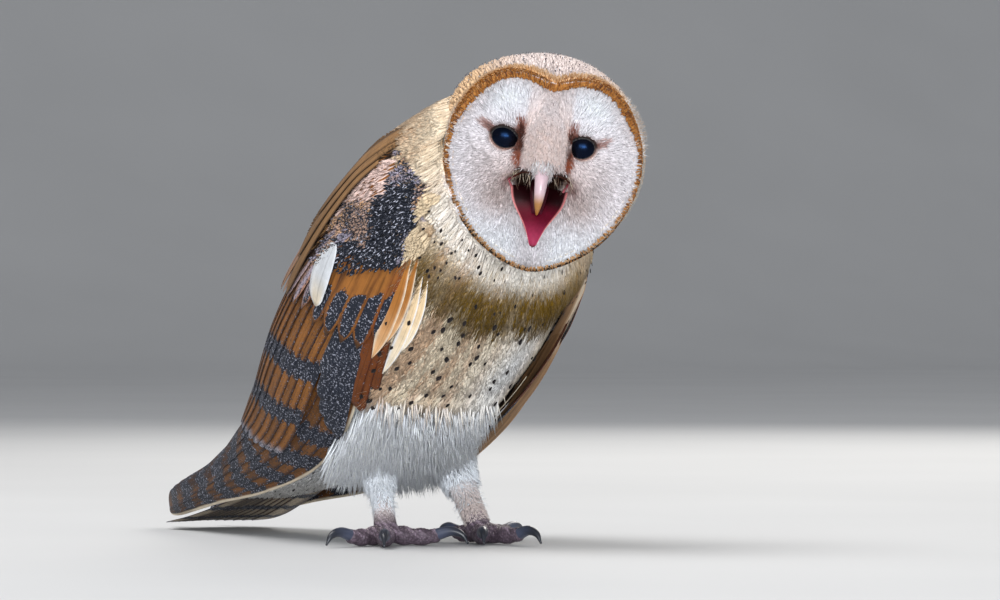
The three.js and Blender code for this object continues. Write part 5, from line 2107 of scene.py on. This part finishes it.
def head_piece(name, rings, paint, material, replaced=()):
    """A closed loft in the head's frame, coloured by paint(ring share, points)."""
    rings = np.asarray(rings, float)
    points, faces = loft(rings)
    colours = paint(ring_shares(*rings.shape[:2]), points)
    made = make_object(name, in_head(points), faces, colours)
    return finish_piece(made, material, replaced)


def make_bill():
    horn = gloss_material("horn", 0.34, 0.25)
    turn = turns(28, 2 * np.pi)

    def upper(t):
        width = through(BILL_UPPER["half_width"], t)
        return width * np.sin(turn), width * 1.2 * np.cos(turn)

    paint = lambda t, p: blend(C.bill, C.bill_tip, smooth(t, 0.62, 0.8))
    head_piece("bill_top", along_middle(BILL_UPPER, 28, upper), paint, horn, ["bill_upper"])

    def lower(t):
        width, thick = through(BILL_LOWER["half_width"], t), through(BILL_LOWER["thickness"], t)
        width = width * np.sqrt(1 - 0.98 * np.clip((t - 0.93) / 0.07, 0, 1) ** 2)
        hollow = np.where(np.cos(turn) > 0, 0.35 * np.cos(turn), 1)
        return width * np.sin(turn), -thick * np.cos(turn) * hollow

    def lower_paint(t, p):
        # Near black at the root, deep in the mouth, paling to pink: painted shade over the mouth's
        # pink.
        return layered(
            C.throat,
            (C.mouth * [0.35, 0.1, 0.2], smooth(t, 0.25, 0.5)),
            (C.mouth * 1.1, smooth(t, 0.52, 0.88)),
            (C.lip, smooth(np.abs(p[:, 0]) / through(BILL_LOWER["half_width"], t), 0.91, 0.97)),
            (C.ruff_dark, smooth(t, 0.93, 1.0) * 0.8),
        )

    wet = gloss_material("wet_flesh", 0.34, 0.0, grain=0.12, scale=700, distance=0.00015,
                         specular=0.1)
    head_piece("bill_bottom", along_middle(BILL_LOWER, 30, lower), lower_paint, wet,
               ["bill_lower"])

    def tongue(t):
        width = through(TONGUE["half_width"], t)
        return width * np.sin(turn), 1.8 * np.cos(turn)

    # Near black, dark maroon at its tip: painted shade deep in the mouth.
    paint = lambda t, p: blend(C.throat, C.mouth * 0.22, t)
    head_piece("tongue_flesh", along_middle(TONGUE, 16, tongue), paint, wet, ["tongue"])
    make_mouth(wet)


def make_mouth(wet):
    """The mouth's lining: a thin cup inside the cut, with a soft lip round its edge."""
    front = gape_ring(0, 1.0)
    front[:, 1] = -HEAD["rim"] - face_rise(front[:, 0], front[:, 2]) - 0.2
    deeper = [(-20, 0.96), (-15.5, 0.86), (-11.5, 0.7), (-8, 0.42)]

    def cup(grow):
        edge = front.copy()
        edge[:, [0, 2]] += unit(front[:, [0, 2]] - MOUTH_MIDDLE) * grow
        return [edge, *(gape_ring(y, scale, grow) for y, scale in deeper)]

    def lining(t, p):
        # Painted shade inside the mouth: near black deeper in and towards the top, red only in its
        # lower part.
        return layered(
            C.throat * 0.6,
            (C.throat, smooth(-p[:, 1], 12, 22)),
            (C.mouth, 0.8 * smooth(-p[:, 2], 16, 24)),
        )

    head_piece("mouth_lining", cup(0.5)[::-1] + cup(-0.3), lining, wet)
    lips = []
    for before, at, after in zip(np.roll(front, 1, 0), front, np.roll(front, -1, 0)):
        along = unit(after - before)
        out = unit(np.cross(along, [0, 1.0, 0]))
        forward = np.cross(out, along)
        radius = 0.5 if at[2] < -5 else 0.4
        lips.append([at + radius * (out * np.cos(a) + forward * np.sin(a))
                     for a in turns(8, 2 * np.pi)])
    points, faces = ring_loop(lips)
    height = points[:, 2]
    colours = layered(
        C.lip * 0.9,
        (C.mouth * 0.8, smooth(height, -14, -6)),
        (C.rust * 0.4, smooth(height, -8.5, -6)),
    )
    made = make_object("mouth_lips", in_head(points), faces, colours)
    finish_piece(made, wet)


def make_claws():
    horn = gloss_material("claw_horn", 0.36, 0.2, grain=0.2, scale=350)
    turn = turns(16)
    for side, leg in FEET.items():
        for toe, way in leg["toes"].items():
            length, share = TOE_LENGTHS[toe], CLAW_LENGTH * (0.8 if toe == "hind" else 1)
            at, way = spot(*leg["at"]), spot(*way)
            reach = (length - 2, length + share * 0.35, length + share * 0.72,
                     length + share * 0.92)
            points = [(*(at + way * r), h) for r, h in zip(reach, (4.4, 6, 4.6, 0.9))]
            surface = limb(points, [2.5, 2.15, 1.5, 0.4])
            rings = rings_of(surface, np.linspace(0, 1, 22), turn)
            rings[..., 2] = np.maximum(rings[..., 2], 0.25)
            points, faces = loft(rings)
            colour = blend(C.claw, C.slate * 0.8, smooth(ring_shares(*rings.shape[:2]), 0.1, 0.75))
            made = make_object(f"talon_{side}_{toe}", points, faces, colour)
            finish_piece(made, horn, [f"claw_{side}_{toe}"])


# ---- stage ----
FLOOR_DROP = 0.0002  # keeps the floor just under the claws
STAGE = {"half_width": 9, "front": -9, "flat_to": 4.6, "bend": 1.6, "top": 7}  # metres
# The photo's view, in millimetres: width is what the picture spans at the target.
VIEW = {"target": (24.2, -13.95, 100.0), "back": (-0.5, -0.8660254, 0.0), "distance": 2200,
        "width": 410}
SENSOR = 36


def make_stage():
    """A wide floor that curves up, far behind the owl, into a backdrop."""
    turn = np.linspace(0, np.pi / 2, 25)
    bend, wide = STAGE["bend"], STAGE["half_width"]
    y = [STAGE["front"], *(STAGE["flat_to"] + bend * np.sin(turn)), STAGE["flat_to"] + bend]
    height = [0, *(bend * (1 - np.cos(turn))), STAGE["top"]]
    points = np.array([[(x, *place) for place in zip(y, height)] for x in (-wide, 0, wide)])
    at = np.arange(3 * len(y)).reshape(3, len(y))
    quads = np.stack([at[:-1, :-1], at[1:, :-1], at[1:, 1:], at[:-1, 1:]], -1).reshape(-1, 4)
    floor = make_object("floor", points.reshape(-1, 3) * 1000, quads, None)
    floor.location = (0, 0, -FLOOR_DROP)
    look = Look("floor")
    cloud = look.noise(look.place(), 3, 2)
    tint = look.ramp(cloud, (0.3, (0.6, 0.61, 0.62)), (0.7, (0.63, 0.64, 0.65)))
    floor.data.materials.append(look.finished({"Base Color": tint, "Roughness": 0.8}))
    floor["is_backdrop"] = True


def area_light(name, place, target, size, energy, colour):
    light = bpy.data.lights.new(name, "AREA")
    light.shape = "RECTANGLE"
    light.size, light.size_y = size
    light.energy = energy
    light.color = colour
    made = bpy.data.objects.new(name, light)
    bpy.context.scene.collection.objects.link(made)
    made.location = place
    made.rotation_euler = direction_euler(np.array(target) - np.array(place))


def direction_euler(way):
    return Vector(way).to_track_quat("-Z", "Y").to_euler()


def make_lights():
    world = bpy.data.worlds.new("studio")
    bpy.context.scene.world = world
    world.use_nodes = True
    sky = world.node_tree.nodes["Background"].inputs
    sky["Color"].default_value = rgba((0.96, 0.97, 1.0))
    sky["Strength"].default_value = 0.41
    aim = (0, -0.06, 0.12)
    area_light("front", (-1.3, -2.3, 0.3), aim, (1.5, 0.8), 39, (0.96, 0.985, 1.0))
    area_light("above", (-0.6, 0.1, 1.8), aim, (1.4, 1.2), 27, (1.0, 0.98, 0.96))
    area_light("low", (-0.5, -1.5, 0.12), (0, 0, 0.06), (0.6, 0.15), 8, (0.92, 0.96, 1.0))
    area_light("rim", (1.2, 1.1, 1.0), aim, (0.8, 0.8), 12, (1.0, 0.96, 0.9))


def make_camera():
    data = bpy.data.cameras.new("view")
    camera = bpy.data.objects.new("view", data)
    bpy.context.scene.collection.objects.link(camera)
    data.sensor_width = SENSOR
    data.lens = SENSOR * VIEW["distance"] / VIEW["width"]
    data.clip_end = 20
    target, back = np.array(VIEW["target"]), np.array(VIEW["back"])
    camera.location = (target + back * VIEW["distance"] + SHIFT) / 1000
    camera.rotation_euler = direction_euler(-back)
    bpy.context.scene.camera = camera


def main():
    dress_face()
    dress_ruff()
    dress_crown()
    dress_body()
    for name, side in (("right", -1), ("left", 1)):
        dress_wing(name, side)
    dress_tail()
    dress_legs()
    dress_undertail()
    make_skin()
    make_eyes()
    make_bill()
    make_claws()
    make_stage()
    make_lights()
    make_camera()
    bpy.context.scene.view_settings.view_transform = "Standard"
    boxes = {"cad": CAD_BOX, "visual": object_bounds()}
    plain = {name: [[float(x) for x in corner] for corner in box] for name, box in boxes.items()}


main()
